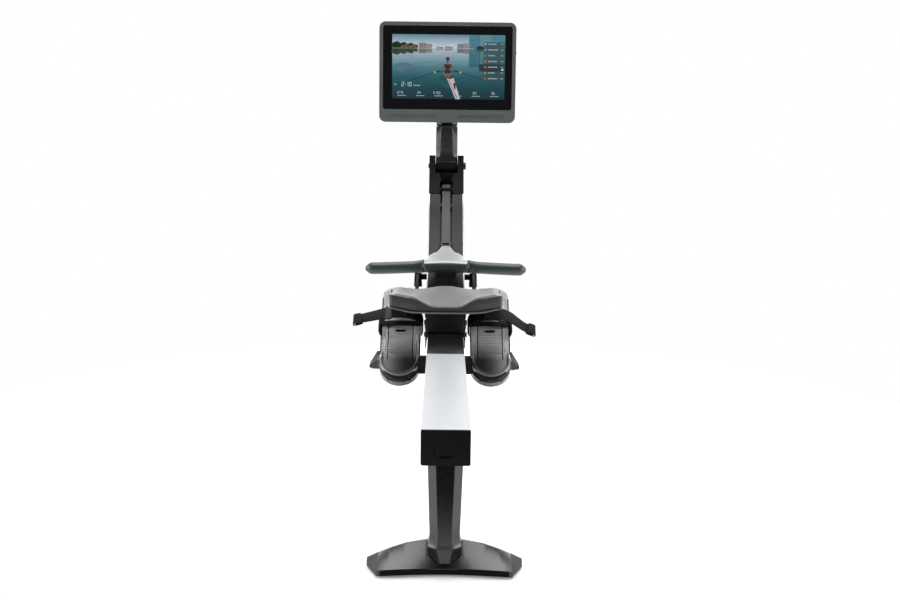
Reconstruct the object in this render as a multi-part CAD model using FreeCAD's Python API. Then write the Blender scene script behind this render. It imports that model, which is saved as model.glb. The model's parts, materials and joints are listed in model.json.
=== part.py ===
"""Connected rowing machine: aluminium rail, swept column, screen, seat, handle and footbeds.

Millimetres. +X is the rower's right, +Y points from the seat to the screen, +Z is up.
The origin is on the floor at the middle of the machine's length and width.
"""
import FreeCAD
import Part
import math
import os

V = FreeCAD.Vector

# ---- overall -----------------------------------------------------------------------------
machine_length = 2032.0
rear_end = -machine_length / 2
front_end = machine_length / 2
gap = 0.3                      # space left between soft or moving neighbours
running = 0.05                 # radial clearance of a shaft in its bore

# ---- rail --------------------------------------------------------------------------------
rail_width = 86.0
rail_height = 63.0
rail_top = 260.0
rail_bottom = rail_top - rail_height
rail_rear = -998.0
rail_front = 318.0
rail_wall = 3.0
rail_flange = 4.0
track_depth = 7.0
track_height = 24.0
track_top = rail_top - rail_flange
track_floor = track_top - track_height
inlay_rear = -314.0
inlay_thickness = 1.5
cap_thickness = 4.0
cap_corner = 3.5
cap_plug_half = 32.0
cap_plug_length = 20.0
cap_groove_x = 19.0
cap_groove_half = 0.8
cap_latch_half = 10.5
cover_overlap = 2.0            # the rail is stepped down from here on to go under the fascia
cover_step = 6.0
rail_bolt_places = (200.0, 296.0)
rail_bolt_z = 213.0
stop_places = (-940.0, 133.5)
stop_length = 10.0

# ---- column: its upper line runs flat, bends up 33 degrees, goes straight, bends again ----
column_width = 108.0
column_depth = 76.0
bend_start = 170.0
lower_radius = 450.0
slope = math.radians(33)
straight_length = 339.8
upper_radius = 300.0
seam_angle = math.radians(46.5)
top_angle = math.radians(72.3)
cover_start = 160.0
cover_thickness = 4.0
inner_half = column_width / 2 - cover_thickness - gap
channel_half = 17.5
channel_depth = 9.0
channel_start = 530.0
mouth_start = 700.0
frame_plate_x = rail_width / 2
frame_plate_thickness = 4.0
bolt_radius = 4.0
bolt_head = 1.8
bolt_head_radius = 7.0
lower_crossbar_half = 65.0
boss_length = 7.6
boss_centre = (-22.0, 166.0)
strut_x = (76.0, 84.0)
crossbar_half = 88.0
crossbar_y = (456.0, 484.0)
crossbar_z = (330.0, 344.0)

# ---- nose housing ------------------------------------------------------------------------
nose_radius = 136.0
nose_centre = (front_end - nose_radius, 320.0)
nose_half_width = 52.0
nose_wall = 3.0
nose_tip = (470.0, 277.0)
nose_back = math.radians(60)
nose_back_length = 160.0
nose_inside = (640.0, 440.0)
inlet_x = 14.0
inlet_z = (285.0, 307.0)

# ---- drive -------------------------------------------------------------------------------
spool_centre = (760.0, 410.0)
shaft_radius = 8.0
roll_radius = 40.0
hub_radius = 20.0
flange_radius = 48.0
flange_x = 13.5
flange_thickness = 2.0
drum_radius = 44.0
drum_x = (-38.7, -17.0)
clutch_radius = 14.0
drive_pulley_radius = 62.0
flywheel_pulley_radius = 18.0
flywheel_radius = 100.0
flywheel_rim = 80.0
flywheel_hub = 24.0
flywheel_x = (-38.0, -16.0)
flywheel_web = (-30.0, -24.0)
brake_gap = 3.0
brake_depth = 21.0
belt_thickness = 3.0
belt_plane = (24.0, 34.0)
bearing_radius = 16.0

# ---- webbing and handle ------------------------------------------------------------------
webbing_width = 25.0
webbing_thickness = 2.2
neck_pin = (507.0, 418.0)
mouth = (780.0, 585.0)
idler_radius = 14.0
grip_axis = (375.0, 375.0)
handle_half = 225.0
grip_start = 61.0
grip_radius = 17.0
grip_sweep = 13.0
handle_tube_radius = 11.0
neck_half = 8.0
fork_half = 22.0
fork_gap = 14.6
fork_depth = 14.0
link_half = 14.0
link_length = 26.7
neck_length = math.hypot(grip_axis[0] - neck_pin[0], grip_axis[1] - neck_pin[1])
pin_radius = 3.0

# ---- seat --------------------------------------------------------------------------------
seat_half = 145.0
seat_rear = -60.0
seat_front = 175.0
roller_radius = 20.0
roller_axle_radius = 5.0
guide_radius = 6.0
roller_places = (0.0, 118.0)
carriage = (-35.0, 148.0)
carriage_top = 307.0
bracket_x = 46.0
bracket_thickness = 4.0
guide_axle_z = rail_top - rail_flange - gap - guide_radius
guide_axle_radius = 3.0
roller_axle_z = rail_top + roller_radius
# half section of the cushion: places across, then the heights there at its rear, middle and front
cushion_x = (0.0, 34.0, 58.0, 84.0, 115.0, 138.0, seat_half)
rear_top = (328.0, 331.0, 344.0, 355.0, 360.0, 364.0, 360.0)
middle_top = (336.0, 336.0, 338.0, 342.0, 348.0, 354.0, 350.0)
front_top = (352.0, 350.0, 346.0, 344.0, 348.0, 353.0, 349.0)
tray_z = (312.0, 312.0, 312.5, 313.5, 317.0, 323.0, 327.0)
cushion_middle = 55.0

# ---- footbeds ----------------------------------------------------------------------------
footbed_centre = 116.0
footbed_heel = (-43.0, 121.0)
footbed_angle = math.radians(40)
footbed_start = 17.0
footbed_end = 339.0
footbed_half = 51.0
footbed_thickness = 16.0
panel_half = 31.0
panel_thickness = 4.0
panel_end = 268.0
panel_slot = (186.5, 195.0)
panel_slot_half = 14.0
cup_wall = 3.5
cup_height = 36.0
cup_side = 42.0
cup_window_half = 34.0
cup_window = (4.0, 17.0)
toe_corner = 34.0
strap_thickness = 3.0
strap_half = 19.0
strap_place = 198.0
strap_line = ((54.8, -12.0), (56.5, 4.0), (54.0, 26.0), (38.0, 44.0), (12.0, 50.0))
tail_end = 232.0

# ---- stands ------------------------------------------------------------------------------
pad_height = 3.0
rear_foot_half = 137.5
front_foot_half = 240.0
front_foot_y = 808.0
rear_foot_y = -976.0
ridge_half = 2.5
# foot sections: x, near edge, far edge, ridge's place, edge height, ridge height
rear_stations = (
    (0.0, -1005.0, -936.0, -949.0, 14.0, 50.0),
    (33.0, -1006.0, -936.0, -949.0, 14.0, 47.5),
    (69.0, -1009.0, -937.0, -950.0, 14.0, 41.0),
    (98.0, -1013.0, -939.0, -952.0, 14.0, 32.0),
    (117.0, rear_end, -941.0, -953.0, 14.0, 24.0),
)
rear_tip = (rear_stations[-1], (rear_foot_half, -963.0, -943.0, -952.0, 12.0, 14.0))
front_stations = (
    (0.0, 774.0, 844.0, 808.0, 24.0, 37.0),
    (100.0, 772.0, 846.0, 808.0, 24.0, 37.0),
    (140.0, 770.0, 847.0, 808.0, 28.0, 46.0),
    (216.0, 768.0, 848.0, 808.0, 30.0, 53.0),
)
front_tip = (front_stations[-1], (front_foot_half, 782.0, 834.0, 808.0, 10.0, 14.0))
# leg sections: height, half width, half width of the flat faces, near face, far face
rear_leg = (
    (8.0, 16.0, 6.0, -996.5, -937.0),
    (45.0, 32.0, 14.0, -996.5, -937.0),
    (51.0, 28.8, 13.0, -996.0, -937.0),
    (58.0, 27.2, 12.3, -996.0, -937.0),
    (66.0, 26.5, 12.0, -996.0, -937.0),
    (rail_bottom, 31.0, 16.5, -995.0, -935.0),
)
front_leg = (
    (20.0, 50.0, 24.0, 782.0, 838.0),
    (64.0, 28.0, 14.0, 784.0, 832.0),
    (236.0, 31.0, 16.5, 716.0, 762.0),
)
stand_head_y = (700.0, 766.0)
stand_head_z = (236.0, 262.0)
leg_bolt_places = (718.0, 750.0)
leg_bolt_z = 249.0
pad_half = (26.0, 28.0)
wheel_radius = 27.0
wheel_axle_radius = 5.0
ear_thickness = 5.0
wheel_axle = (881.0, 31.0)
wheel_x = (150.0, 174.0)

# ---- display -----------------------------------------------------------------------------
display_width = 429.0
display_bottom = 781.0
display_top = 1092.0
display_face = 848.0
display_depth = 35.0
display_corner = 20.0
shell_wall = 4.0
grille_x = (34.0, 180.0)
grille_z = (14.0, 24.0)
glass_width = 406.0
glass_bottom = 821.0
glass_top = 1080.0
screen_width = 354.0
screen_height = 199.0
bezel_depth = 10.0
button_place = (display_face + 20, 1000.0)
arm_pivot = (835.0, 645.0)
arm_half = 34.0
arm_barrel = 19.0
# arm sections: height, half width, half width of the flat faces, near face, far face
arm_sections = (
    (arm_pivot[1], arm_half, 33.0, arm_pivot[0] - arm_barrel, arm_pivot[0] + arm_barrel),
    (arm_pivot[1] + 20, arm_half, 30.0, 819.0, 857.0),
    (arm_pivot[1] + 46, arm_half, 18.0, 827.5, 864.0),
    (740.0, arm_half, 17.5, 846.0, 882.0),
    (770.0, arm_half, 17.5, 852.0, 930.0),
    (776.0, arm_half, 17.5, 904.0, 935.0),
    (925.0, arm_half - 6, 15.5, 906.0, 934.0),
)
fork_clearance = 1.5
swivel_y = 920.0
tilt_axis = (896.0, 936.0)
arm_pin_radius = 6.0
swivel_radius = 7.0
tilt_pin_radius = 4.0
hinge_gap = 14.0


# ---- helpers -----------------------------------------------------------------------------
def box(x0, x1, y0, y1, z0, z1):
    return Part.makeBox(x1 - x0, y1 - y0, z1 - z0, V(x0, y0, z0))


def cyl_x(centre, radius, x0, x1):
    return Part.makeCylinder(radius, x1 - x0, V(x0, centre[0], centre[1]), V(1, 0, 0))


def cyl_z(x, y, radius, z0, z1):
    return Part.makeCylinder(radius, z1 - z0, V(x, y, z0), V(0, 0, 1))


def ring_x(centre, inner, outer, x0, x1):
    return cyl_x(centre, outer, x0, x1).cut(cyl_x(centre, inner, x0 - 1, x1 + 1))


def polygon(points):
    return Part.makePolygon(list(points) + [points[0]])


def prism_x(points, x0, x1):
    wire = polygon([V(x0, y, z) for y, z in points])
    return Part.Face(wire).extrude(V(x1 - x0, 0, 0))


def prism_y(points, y0, y1):
    wire = polygon([V(x, y0, z) for x, z in points])
    return Part.Face(wire).extrude(V(0, y1 - y0, 0))


def prism_z(points, z0, z1):
    wire = polygon([V(x, y, z0) for x, y in points])
    return Part.Face(wire).extrude(V(0, 0, z1 - z0))


def mirrored(shape):
    return shape.mirror(V(0, 0, 0), V(1, 0, 0))


def both_sides(shape):
    return Part.makeCompound([shape, mirrored(shape)])


def loft(sections, ruled=True):
    return Part.makeLoft([polygon(s) for s in sections], True, ruled)


def rounded_z(x0, x1, y0, y1, z0, z1, radius):
    """Upright block with its four Z edges rounded."""
    block = box(x0, x1, y0, y1, z0, z1)
    edges = [e for e in block.Edges if abs(e.Vertexes[0].Z - e.Vertexes[1].Z) > 1e-6]
    return block.makeFillet(radius, edges)


def rounded_y(x0, x1, y0, y1, z0, z1, radius):
    """Block with its four Y edges rounded."""
    block = box(x0, x1, y0, y1, z0, z1)
    edges = [e for e in block.Edges if abs(e.Vertexes[0].Y - e.Vertexes[1].Y) > 1e-6]
    return block.makeFillet(radius, edges)


def export(name, shape):
    shape.exportStep("parts/" + name + ".step")


# ---- the column's line -------------------------------------------------------------------
lower_centre = (bend_start, rail_top + lower_radius)
straight_end = (
    lower_centre[0] + lower_radius * math.sin(slope) + straight_length * math.cos(slope),
    lower_centre[1] - lower_radius * math.cos(slope) + straight_length * math.sin(slope),
)
upper_centre = (
    straight_end[0] - upper_radius * math.sin(slope),
    straight_end[1] + upper_radius * math.cos(slope),
)


def on_arc(centre, radius, angle):
    return V(0, centre[0] + radius * math.sin(angle), centre[1] - radius * math.cos(angle))


def upper_point(depth, angle):
    return on_arc(upper_centre, upper_radius + depth, angle)


def column_edges(depth, start, end):
    """Edges of the column's line, moved into the body by depth."""
    radius = lower_radius + depth
    first = V(0, start, rail_top - depth)
    bend = on_arc(lower_centre, radius, 0)
    middle = on_arc(lower_centre, radius, slope / 2)
    rise = on_arc(lower_centre, radius, slope)
    turn = upper_point(depth, slope)
    half = upper_point(depth, (slope + end) / 2)
    last = upper_point(depth, end)
    return [
        Part.makeLine(first, bend),
        Part.Arc(bend, middle, rise).toShape(),
        Part.makeLine(rise, turn),
        Part.Arc(turn, half, last).toShape(),
    ]


def band(near, far, x0, x1, start=cover_start, end=seam_angle):
    """Slab of the column between two depths under its upper line."""
    edges = column_edges(near, start, end) + column_edges(far, start, end)
    edges.append(Part.makeLine(V(0, start, rail_top - near), V(0, start, rail_top - far)))
    edges.append(Part.makeLine(upper_point(near, end), upper_point(far, end)))
    wire = Part.Wire(Part.__sortEdges__(edges))
    face = Part.Face(wire)
    face.translate(V(x0, 0, 0))
    return face.extrude(V(x1 - x0, 0, 0))


def top_band(near, far, x0, x1, start, end):
    """Slab of the column's last bend only, between two angles."""
    edges = []
    for depth in (near, far):
        middle = upper_point(depth, (start + end) / 2)
        edges.append(Part.Arc(upper_point(depth, start), middle, upper_point(depth, end)).toShape())
    edges.append(Part.makeLine(upper_point(near, start), upper_point(far, start)))
    edges.append(Part.makeLine(upper_point(near, end), upper_point(far, end)))
    face = Part.Face(Part.Wire(Part.__sortEdges__(edges)))
    face.translate(V(x0, 0, 0))
    return face.extrude(V(x1 - x0, 0, 0))


def spacer_centres():
    """Where the cross tubes pass between the frame plates."""
    bend = on_arc(lower_centre, lower_radius + 40, math.radians(22))
    foot = on_arc(lower_centre, lower_radius + 36, slope)
    places = [(bend.y, bend.z)]
    for along in (110, 250):
        places.append((foot.y + along * math.cos(slope), foot.z + along * math.sin(slope)))
    head = upper_point(22, math.radians(40))
    places.append((head.y, head.z))
    return places


spacer_places = spacer_centres()

# ---- the webbing's line: straight from the handle's pin to the mouth, then over the idler ----
chord = V(0, mouth[0] - neck_pin[0], mouth[1] - neck_pin[1]).normalize()
chord_normal = V(0, chord.z, -chord.y)
chord_angle = math.degrees(math.atan2(chord.z, chord.y))
idler_reach = idler_radius + gap + webbing_thickness / 2
idler_centre = (mouth[0] + chord_normal.y * idler_reach, mouth[1] + chord_normal.z * idler_reach)


# ---- rail --------------------------------------------------------------------------------
def make_rail():
    half = rail_width / 2
    inner = half - track_depth
    outline = [
        (-half, rail_bottom), (half, rail_bottom), (half, track_floor), (inner, track_floor),
        (inner, track_top), (half, track_top), (half, rail_top), (-half, rail_top),
        (-half, track_top), (-inner, track_top), (-inner, track_floor), (-half, track_floor),
    ]
    wide = half - rail_wall
    narrow = inner - rail_wall
    hollow = [
        (-wide, rail_bottom + rail_wall), (wide, rail_bottom + rail_wall),
        (wide, track_floor - rail_wall), (narrow, track_floor - rail_wall),
        (narrow, track_top - 1), (-narrow, track_top - 1),
        (-narrow, track_floor - rail_wall), (-wide, track_floor - rail_wall),
    ]
    rail = prism_y(outline, rail_rear, rail_front).cut(prism_y(hollow, rail_rear - 1, rail_front + 1))
    rail = rail.cut(box(-half - 1, half + 1, inlay_rear, rail_front + 1, rail_top - inlay_thickness,
                        rail_top + 1))
    rail = rail.cut(box(-half - 1, half + 1, cover_start - cover_overlap, rail_front + 1,
                        rail_top - cover_step, rail_top + 1))
    for y in rail_bolt_places:
        rail = rail.cut(cyl_x((y, rail_bolt_z), bolt_radius + running, -half - 1, half + 1))
    return rail


def make_rail_inlay():
    half = rail_width / 2
    return box(-half, half, inlay_rear, cover_start - cover_overlap, rail_top - inlay_thickness, rail_top)


def make_rail_end_cap():
    half = rail_width / 2
    face = rounded_y(-half, half, rail_rear - cap_thickness, rail_rear, rail_bottom, rail_top, cap_corner)
    plug = box(-cap_plug_half, cap_plug_half, rail_rear, rail_rear + cap_plug_length,
               rail_bottom + rail_wall + 1, rail_top - cover_step)
    cap = face.fuse(plug)
    outer = rail_rear - cap_thickness
    for x in (-cap_groove_x, cap_groove_x):
        groove = box(x - cap_groove_half, x + cap_groove_half, outer - 1, outer + 1, rail_bottom + 15,
                     rail_bottom + 41)
        cap = cap.cut(groove)
    latch = box(-cap_latch_half, cap_latch_half, outer - 1, outer + 3, rail_bottom + 13, rail_bottom + 18)
    return cap.cut(latch)


def make_rail_stops():
    """Rubber blocks in the side tracks that end the seat's travel."""
    half = rail_width / 2
    stops = []
    for y in stop_places:
        stop = box(half - track_depth, half - gap, y, y + stop_length, track_floor + 2, track_top - 1)
        stops += [stop, mirrored(stop)]
    return Part.makeCompound(stops)


# ---- stands ------------------------------------------------------------------------------
def foot_section(x, near, far, ridge_y, edge, ridge):
    return [
        V(x, near, pad_height), V(x, far, pad_height), V(x, far, edge),
        V(x, ridge_y + ridge_half, ridge), V(x, ridge_y - ridge_half, ridge), V(x, near, edge),
    ]


def foot_from(stations):
    return loft([foot_section(*station) for station in stations])


def leg_section(z, half, face, near, far):
    """Eight-sided section: flat front and back faces with slanting facets beside them."""
    side = (far - near) * 0.3
    return [
        V(-face, near, z), V(face, near, z), V(half, near + side, z), V(half, far - side / 2, z),
        V(face, far, z), V(-face, far, z), V(-half, far - side / 2, z), V(-half, near + side, z),
    ]


def make_rear_stand():
    leg = loft([leg_section(*section) for section in rear_leg])
    foot = foot_from(rear_stations)
    return foot.fuse(mirrored(foot)).fuse(leg).removeSplitter()


def make_front_stand():
    leg = loft([leg_section(*section) for section in front_leg])
    head = box(-frame_plate_x, frame_plate_x, *stand_head_y, *stand_head_z)
    for y in leg_bolt_places:
        head = head.cut(cyl_x((y, leg_bolt_z), bolt_radius + running, -frame_plate_x - 1, frame_plate_x + 1))
    foot = foot_from(front_stations)
    stand = foot.fuse(mirrored(foot)).fuse(leg).fuse(head)
    y, z = wheel_axle
    eye = wheel_axle_radius + 6
    for x0 in (wheel_x[0] - ear_thickness - 1, wheel_x[1] + 1):
        x1 = x0 + ear_thickness
        ear = prism_x([(838, 12), (y, z - eye), (y + eye, z), (y, z + eye), (838, 46)], x0, x1)
        ear = ear.cut(cyl_x(wheel_axle, wheel_axle_radius + running, x0 - 1, x1 + 1))
        stand = stand.fuse(ear).fuse(mirrored(ear))
    return stand


def make_foot_end_caps():
    """Rubber caps on the four foot tips; each carries a pad that stands on the floor."""
    caps = []
    ends = ((rear_tip, rear_foot_y, pad_half[0]), (front_tip, front_foot_y, pad_half[1]))
    for tip, middle, half in ends:
        inner = tip[0][0]
        pad = rounded_z(inner - 40, inner, middle - half, middle + half, 0, pad_height, 6)
        cap = foot_from(tip).fuse(pad)
        caps += [cap, mirrored(cap)]
    return Part.makeCompound(caps)


def make_wheel():
    wheel = ring_x(wheel_axle, wheel_axle_radius + running, wheel_radius, wheel_x[0], wheel_x[1])
    dish = (wheel_axle_radius + 6, wheel_radius - 6)
    for x in (wheel_x[0] - 1, wheel_x[1] - 4):
        wheel = wheel.cut(ring_x(wheel_axle, *dish, x, x + 5))
    return wheel


# ---- column ------------------------------------------------------------------------------
def make_side_cover():
    half = column_width / 2
    cover = band(0, column_depth, half - cover_thickness, half)
    return cover.cut(box(0, half + 1, crossbar_y[0] - gap, crossbar_y[1] + gap, crossbar_z[0] - gap,
                         crossbar_z[1] + gap))


def nose_outline(inset):
    """Teardrop seen from the side: straight belly, round front, straight back to the column."""
    cy, cz = nose_centre
    radius = nose_radius - inset
    tip_y = nose_tip[0] - cy
    tip_z = nose_tip[1] - cz
    reach = math.hypot(tip_y, tip_z)
    belly = math.atan2(-tip_z, -tip_y) - math.asin(nose_radius / reach) - math.pi / 2
    low = V(0, cy + radius * math.cos(belly), cz + radius * math.sin(belly))
    front = V(0, cy + radius, cz)
    high = V(0, cy + radius * math.cos(nose_back), cz + radius * math.sin(nose_back))
    along_belly = V(0, math.sin(belly), -math.cos(belly))
    start = low + along_belly * (reach * math.cos(math.asin(nose_radius / reach)))
    along_back = V(0, -math.sin(nose_back), math.cos(nose_back))
    end = high + along_back * nose_back_length
    inside = V(0, *nose_inside)
    edges = [
        Part.makeLine(start, low),
        Part.Arc(low, front, high).toShape(),
        Part.makeLine(high, end),
        Part.makeLine(end, inside),
        Part.makeLine(inside, start),
    ]
    return Part.Face(Part.Wire(edges))


def make_nose_shell(side):
    """One half of the nose housing; side is +1 for right and -1 for left."""
    outer = nose_outline(0)
    inner = nose_outline(nose_wall)
    seam = gap / 2
    shell = outer.extrude(V(nose_half_width - seam, 0, 0))
    shell.translate(V(seam, 0, 0))
    hollow = inner.extrude(V(nose_half_width - nose_wall, 0, 0))
    shell = shell.cut(hollow)
    shell = shell.cut(band(-90, column_depth + 0.4, -1, nose_half_width + 1, 100, top_angle))
    leg_opening = prism_x([(700, 180), (795, 180), (772, 245), (700, 245)], -1, 36)
    shell = shell.cut(leg_opening)
    inlet = box(-1, inlet_x, front_end - 25, front_end + 1, *inlet_z)
    shell = shell.cut(inlet)
    return shell if side > 0 else mirrored(shell)


def make_frame_plate():
    x0 = frame_plate_x
    x1 = x0 + frame_plate_thickness
    plate = band(7, 70, x0, x1, cover_start + 4, math.radians(56))
    web = prism_x([(600, 380), (680, 238), (775, 215), (915, 285), (925, 345), (880, 372),
                   (830, 470), (780, 500)], x0, x1)
    plate = plate.fuse(web).removeSplitter()
    bolt_places = [(y, rail_bolt_z) for y in rail_bolt_places]
    bolt_places += [(y, leg_bolt_z) for y in leg_bolt_places]
    bolt_places += spacer_places + [idler_centre]
    holes = [(y, z, bolt_radius + running) for y, z in bolt_places]
    holes += [(y, z, bearing_radius) for y, z in (spool_centre, nose_centre)]
    for y, z, radius in holes:
        plate = plate.cut(cyl_x((y, z), radius, x0 - 1, x1 + 1))
    plate = plate.cut(box(0, x1 + 1, crossbar_y[0] - 0.2, crossbar_y[1] + 0.2, crossbar_z[0] - 0.2,
                          crossbar_z[1] + 0.2))
    return plate


def make_column_frame():
    """Two plates with cross tubes welded between them."""
    plate = make_frame_plate()
    frame = plate.fuse(mirrored(plate))
    for centre in spacer_places:
        frame = frame.fuse(ring_x(centre, bolt_radius + running, 9, -frame_plate_x, frame_plate_x))
    return frame


def make_frame_fasteners():
    """Cross bolts, the webbing roller's axle and the two transport wheel axles."""
    reach = frame_plate_x + frame_plate_thickness
    bolts = [cyl_x(idler_centre, bolt_radius, -reach, reach)]
    axle = cyl_x(wheel_axle, wheel_axle_radius, wheel_x[0] - 8, wheel_x[1] + 6)
    axle = axle.fuse(cyl_x(wheel_axle, 8, wheel_x[1] + 6, wheel_x[1] + 10))
    axle = axle.fuse(cyl_x(wheel_axle, 8, wheel_x[0] - 11, wheel_x[0] - 6))
    bolts += [axle, mirrored(axle)]
    places = [(y, rail_bolt_z) for y in rail_bolt_places]
    places += [(y, leg_bolt_z) for y in leg_bolt_places]
    places += spacer_places
    for centre in places:
        bolt = cyl_x(centre, bolt_radius, -reach, reach)
        bolt = bolt.fuse(cyl_x(centre, bolt_head_radius, reach, reach + bolt_head))
        bolt = bolt.fuse(cyl_x(centre, bolt_head_radius, -reach - bolt_head, -reach))
        bolts.append(bolt)
    return Part.makeCompound(bolts)


def make_column_fascia():
    """Front skin of the column, with a channel for the webbing that ends in its mouth."""
    outer = channel_half + 2
    span = box(-60, 60, channel_start, 900, 300, 800)
    fascia = band(2, 5, -inner_half, inner_half)
    trough = band(2, channel_depth + 2, -outer, outer).common(span)
    groove = band(-1, channel_depth, -channel_half, channel_half).common(span)
    fascia = fascia.fuse(trough).cut(groove)
    return fascia.cut(box(-channel_half, channel_half, mouth_start, 900, 400, 700))


def make_column_back_cover():
    cover = band(column_depth - 5, column_depth - 2, -inner_half, inner_half)
    return cover.common(box(-60, 60, rail_front + 2, 520, 100, 500))


def make_column_cap():
    """Fork that carries the display arm; its saddle wraps the arm's barrel from below and behind."""
    half = column_width / 2
    end = seam_angle + 0.001
    cap = top_band(0, column_depth, -half, half, end, top_angle)
    hollow = top_band(5, column_depth - 4, -half + 5, half - 5, end - 0.01, math.radians(56.5))
    cap = cap.cut(hollow)
    slot_half = arm_half + 1
    round_seat = arm_barrel + fork_clearance
    slot_floor = arm_pivot[1] - round_seat
    cap = cap.cut(box(-slot_half, slot_half, 700, arm_pivot[0], slot_floor, 760))
    cap = cap.cut(box(-slot_half, slot_half, arm_pivot[0], 960, arm_pivot[1], 760))
    cap = cap.cut(cyl_x(arm_pivot, round_seat, -slot_half, slot_half))
    notch = prism_y([(-24, slot_floor + 1), (-11, 592), (11, 592), (24, slot_floor + 1)], 700, 806)
    cap = cap.cut(notch)
    cap = cap.cut(box(-20, 20, 700, 792, 540, 600))
    for side in (-1, 1):
        cap = cap.cut(cyl_x(arm_pivot, arm_pin_radius + running, side * half - 30, side * half + 30))
    return cap


def make_fairlead():
    """Lipped guide round the webbing where it goes into the column."""
    centre = V(0, mouth[0], mouth[1]) - chord * 26
    half = webbing_width / 2
    frame = box(-half - 7, half + 7, -4, 4, -10, 8)
    frame = frame.cut(box(-half - 1.5, half + 1.5, -5, 5, -3, 3))
    frame.rotate(V(0, 0, 0), V(1, 0, 0), chord_angle)
    frame.translate(centre)
    return frame


def make_handle_dock():
    """Rubber saddle that carries the handle's neck."""
    down = V(0, grip_axis[0] - neck_pin[0], grip_axis[1] - neck_pin[1]).normalize()
    under = V(0, down.z, -down.y)
    if under.z > 0:
        under = under * -1
    pin = V(0, neck_pin[0], neck_pin[1])
    high = pin + down * 20 + under * (neck_half + gap)
    low = pin + down * 80 + under * (neck_half + gap)
    saddle = prism_x([(high.y, high.z), (low.y, low.z), (low.y, low.z - 60), (high.y, high.z - 60)], -30, 30)
    return saddle.cut(band(2, 90, -60, 60))


# ---- drive -------------------------------------------------------------------------------
def make_webbing_spool():
    """Flanged spool on its shaft, with the wound webbing as a second solid."""
    reach = frame_plate_x + frame_plate_thickness + 1
    spool = cyl_x(spool_centre, shaft_radius, -reach, reach)
    outer = flange_x + flange_thickness
    spool = spool.fuse(cyl_x(spool_centre, hub_radius, -outer, outer))
    for x in (-outer, flange_x):
        spool = spool.fuse(cyl_x(spool_centre, flange_radius, x, x + flange_thickness))
    roll = ring_x(spool_centre, hub_radius, roll_radius - gap, -webbing_width / 2, webbing_width / 2)
    return Part.makeCompound([spool, roll])


def make_drive_pulley():
    """Belt pulley with its one-way clutch ring pressed in as a second solid."""
    clutch = ring_x(spool_centre, shaft_radius + running, clutch_radius, *belt_plane)
    pulley = ring_x(spool_centre, clutch_radius, drive_pulley_radius, *belt_plane)
    holes = 6
    for index in range(holes):
        angle = 2 * math.pi * index / holes
        hole = (spool_centre[0] + 38 * math.cos(angle), spool_centre[1] + 38 * math.sin(angle))
        pulley = pulley.cut(cyl_x(hole, 11, belt_plane[0] - 1, belt_plane[1] + 1))
    return Part.makeCompound([pulley, clutch])


def make_recoil_drum():
    x0, x1 = drum_x
    drum = cyl_x(spool_centre, drum_radius, x0, x1)
    drum = drum.cut(cyl_x(spool_centre, drum_radius - 3, x0 + 1.7, x1 - 2))
    drum = drum.cut(cyl_x(spool_centre, shaft_radius + 1, x0 - 1, x1 + 1))
    return drum


def make_recoil_cartridge():
    """Drum on the frame with the flat return spring wound inside it."""
    return Part.makeCompound([make_recoil_drum(), make_recoil_spring()])


def make_recoil_spring():
    turns = 7
    steps = 24
    inner = 13.0
    outer = drum_radius - 6
    pitch = (outer - inner) / turns
    strip = pitch * 0.35
    outside = []
    inside = []
    for index in range(turns * steps + 1):
        angle = 2 * math.pi * index / steps
        radius = inner + pitch * index / steps
        cos = math.cos(angle)
        sin = math.sin(angle)
        outside.append((spool_centre[0] + (radius + strip) * cos, spool_centre[1] + (radius + strip) * sin))
        inside.append((spool_centre[0] + radius * cos, spool_centre[1] + radius * sin))
    return prism_x(outside + inside[::-1], drum_x[0] + 2.7, drum_x[1] - 3)


def make_flywheel_shaft():
    """Shaft with the small belt pulley turned on it."""
    reach = frame_plate_x + frame_plate_thickness + 1
    shaft = cyl_x(nose_centre, shaft_radius, -reach, reach)
    return shaft.fuse(cyl_x(nose_centre, flywheel_pulley_radius, *belt_plane))


def make_flywheel():
    wheel = ring_x(nose_centre, flywheel_rim, flywheel_radius, *flywheel_x)
    wheel = wheel.fuse(ring_x(nose_centre, flywheel_hub, flywheel_rim, *flywheel_web))
    return wheel.fuse(ring_x(nose_centre, shaft_radius, flywheel_hub, *flywheel_x))


def make_shaft_bearings():
    bearings = []
    x0 = frame_plate_x - 4
    for centre in (spool_centre, nose_centre):
        bearing = ring_x(centre, shaft_radius + running, bearing_radius, x0, x0 + 8)
        bearings += [bearing, mirrored(bearing)]
    return Part.makeCompound(bearings)


def belt_face(extra):
    """Face inside a belt line that lies 'extra' outside both pulleys."""
    big = drive_pulley_radius + extra
    small = flywheel_pulley_radius + extra
    dy = nose_centre[0] - spool_centre[0]
    dz = nose_centre[1] - spool_centre[1]
    span = math.hypot(dy, dz)
    heading = math.atan2(dz, dy)
    lean = math.acos((big - small) / span)

    def at(centre, radius, angle):
        return V(0, centre[0] + radius * math.cos(angle), centre[1] + radius * math.sin(angle))

    big_top = at(spool_centre, big, heading + lean)
    big_low = at(spool_centre, big, heading - lean)
    small_top = at(nose_centre, small, heading + lean)
    small_low = at(nose_centre, small, heading - lean)
    edges = [
        Part.makeLine(big_top, small_top),
        Part.Arc(small_top, at(nose_centre, small, heading), small_low).toShape(),
        Part.makeLine(small_low, big_low),
        Part.Arc(big_low, at(spool_centre, big, heading + math.pi), big_top).toShape(),
    ]
    return Part.Face(Part.Wire(edges))


def make_drive_belt():
    face = belt_face(gap + belt_thickness).cut(belt_face(gap))
    belt = face.extrude(V(belt_plane[1] - belt_plane[0] - 1, 0, 0))
    belt.translate(V(belt_plane[0] + 0.5, 0, 0))
    return belt


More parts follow.
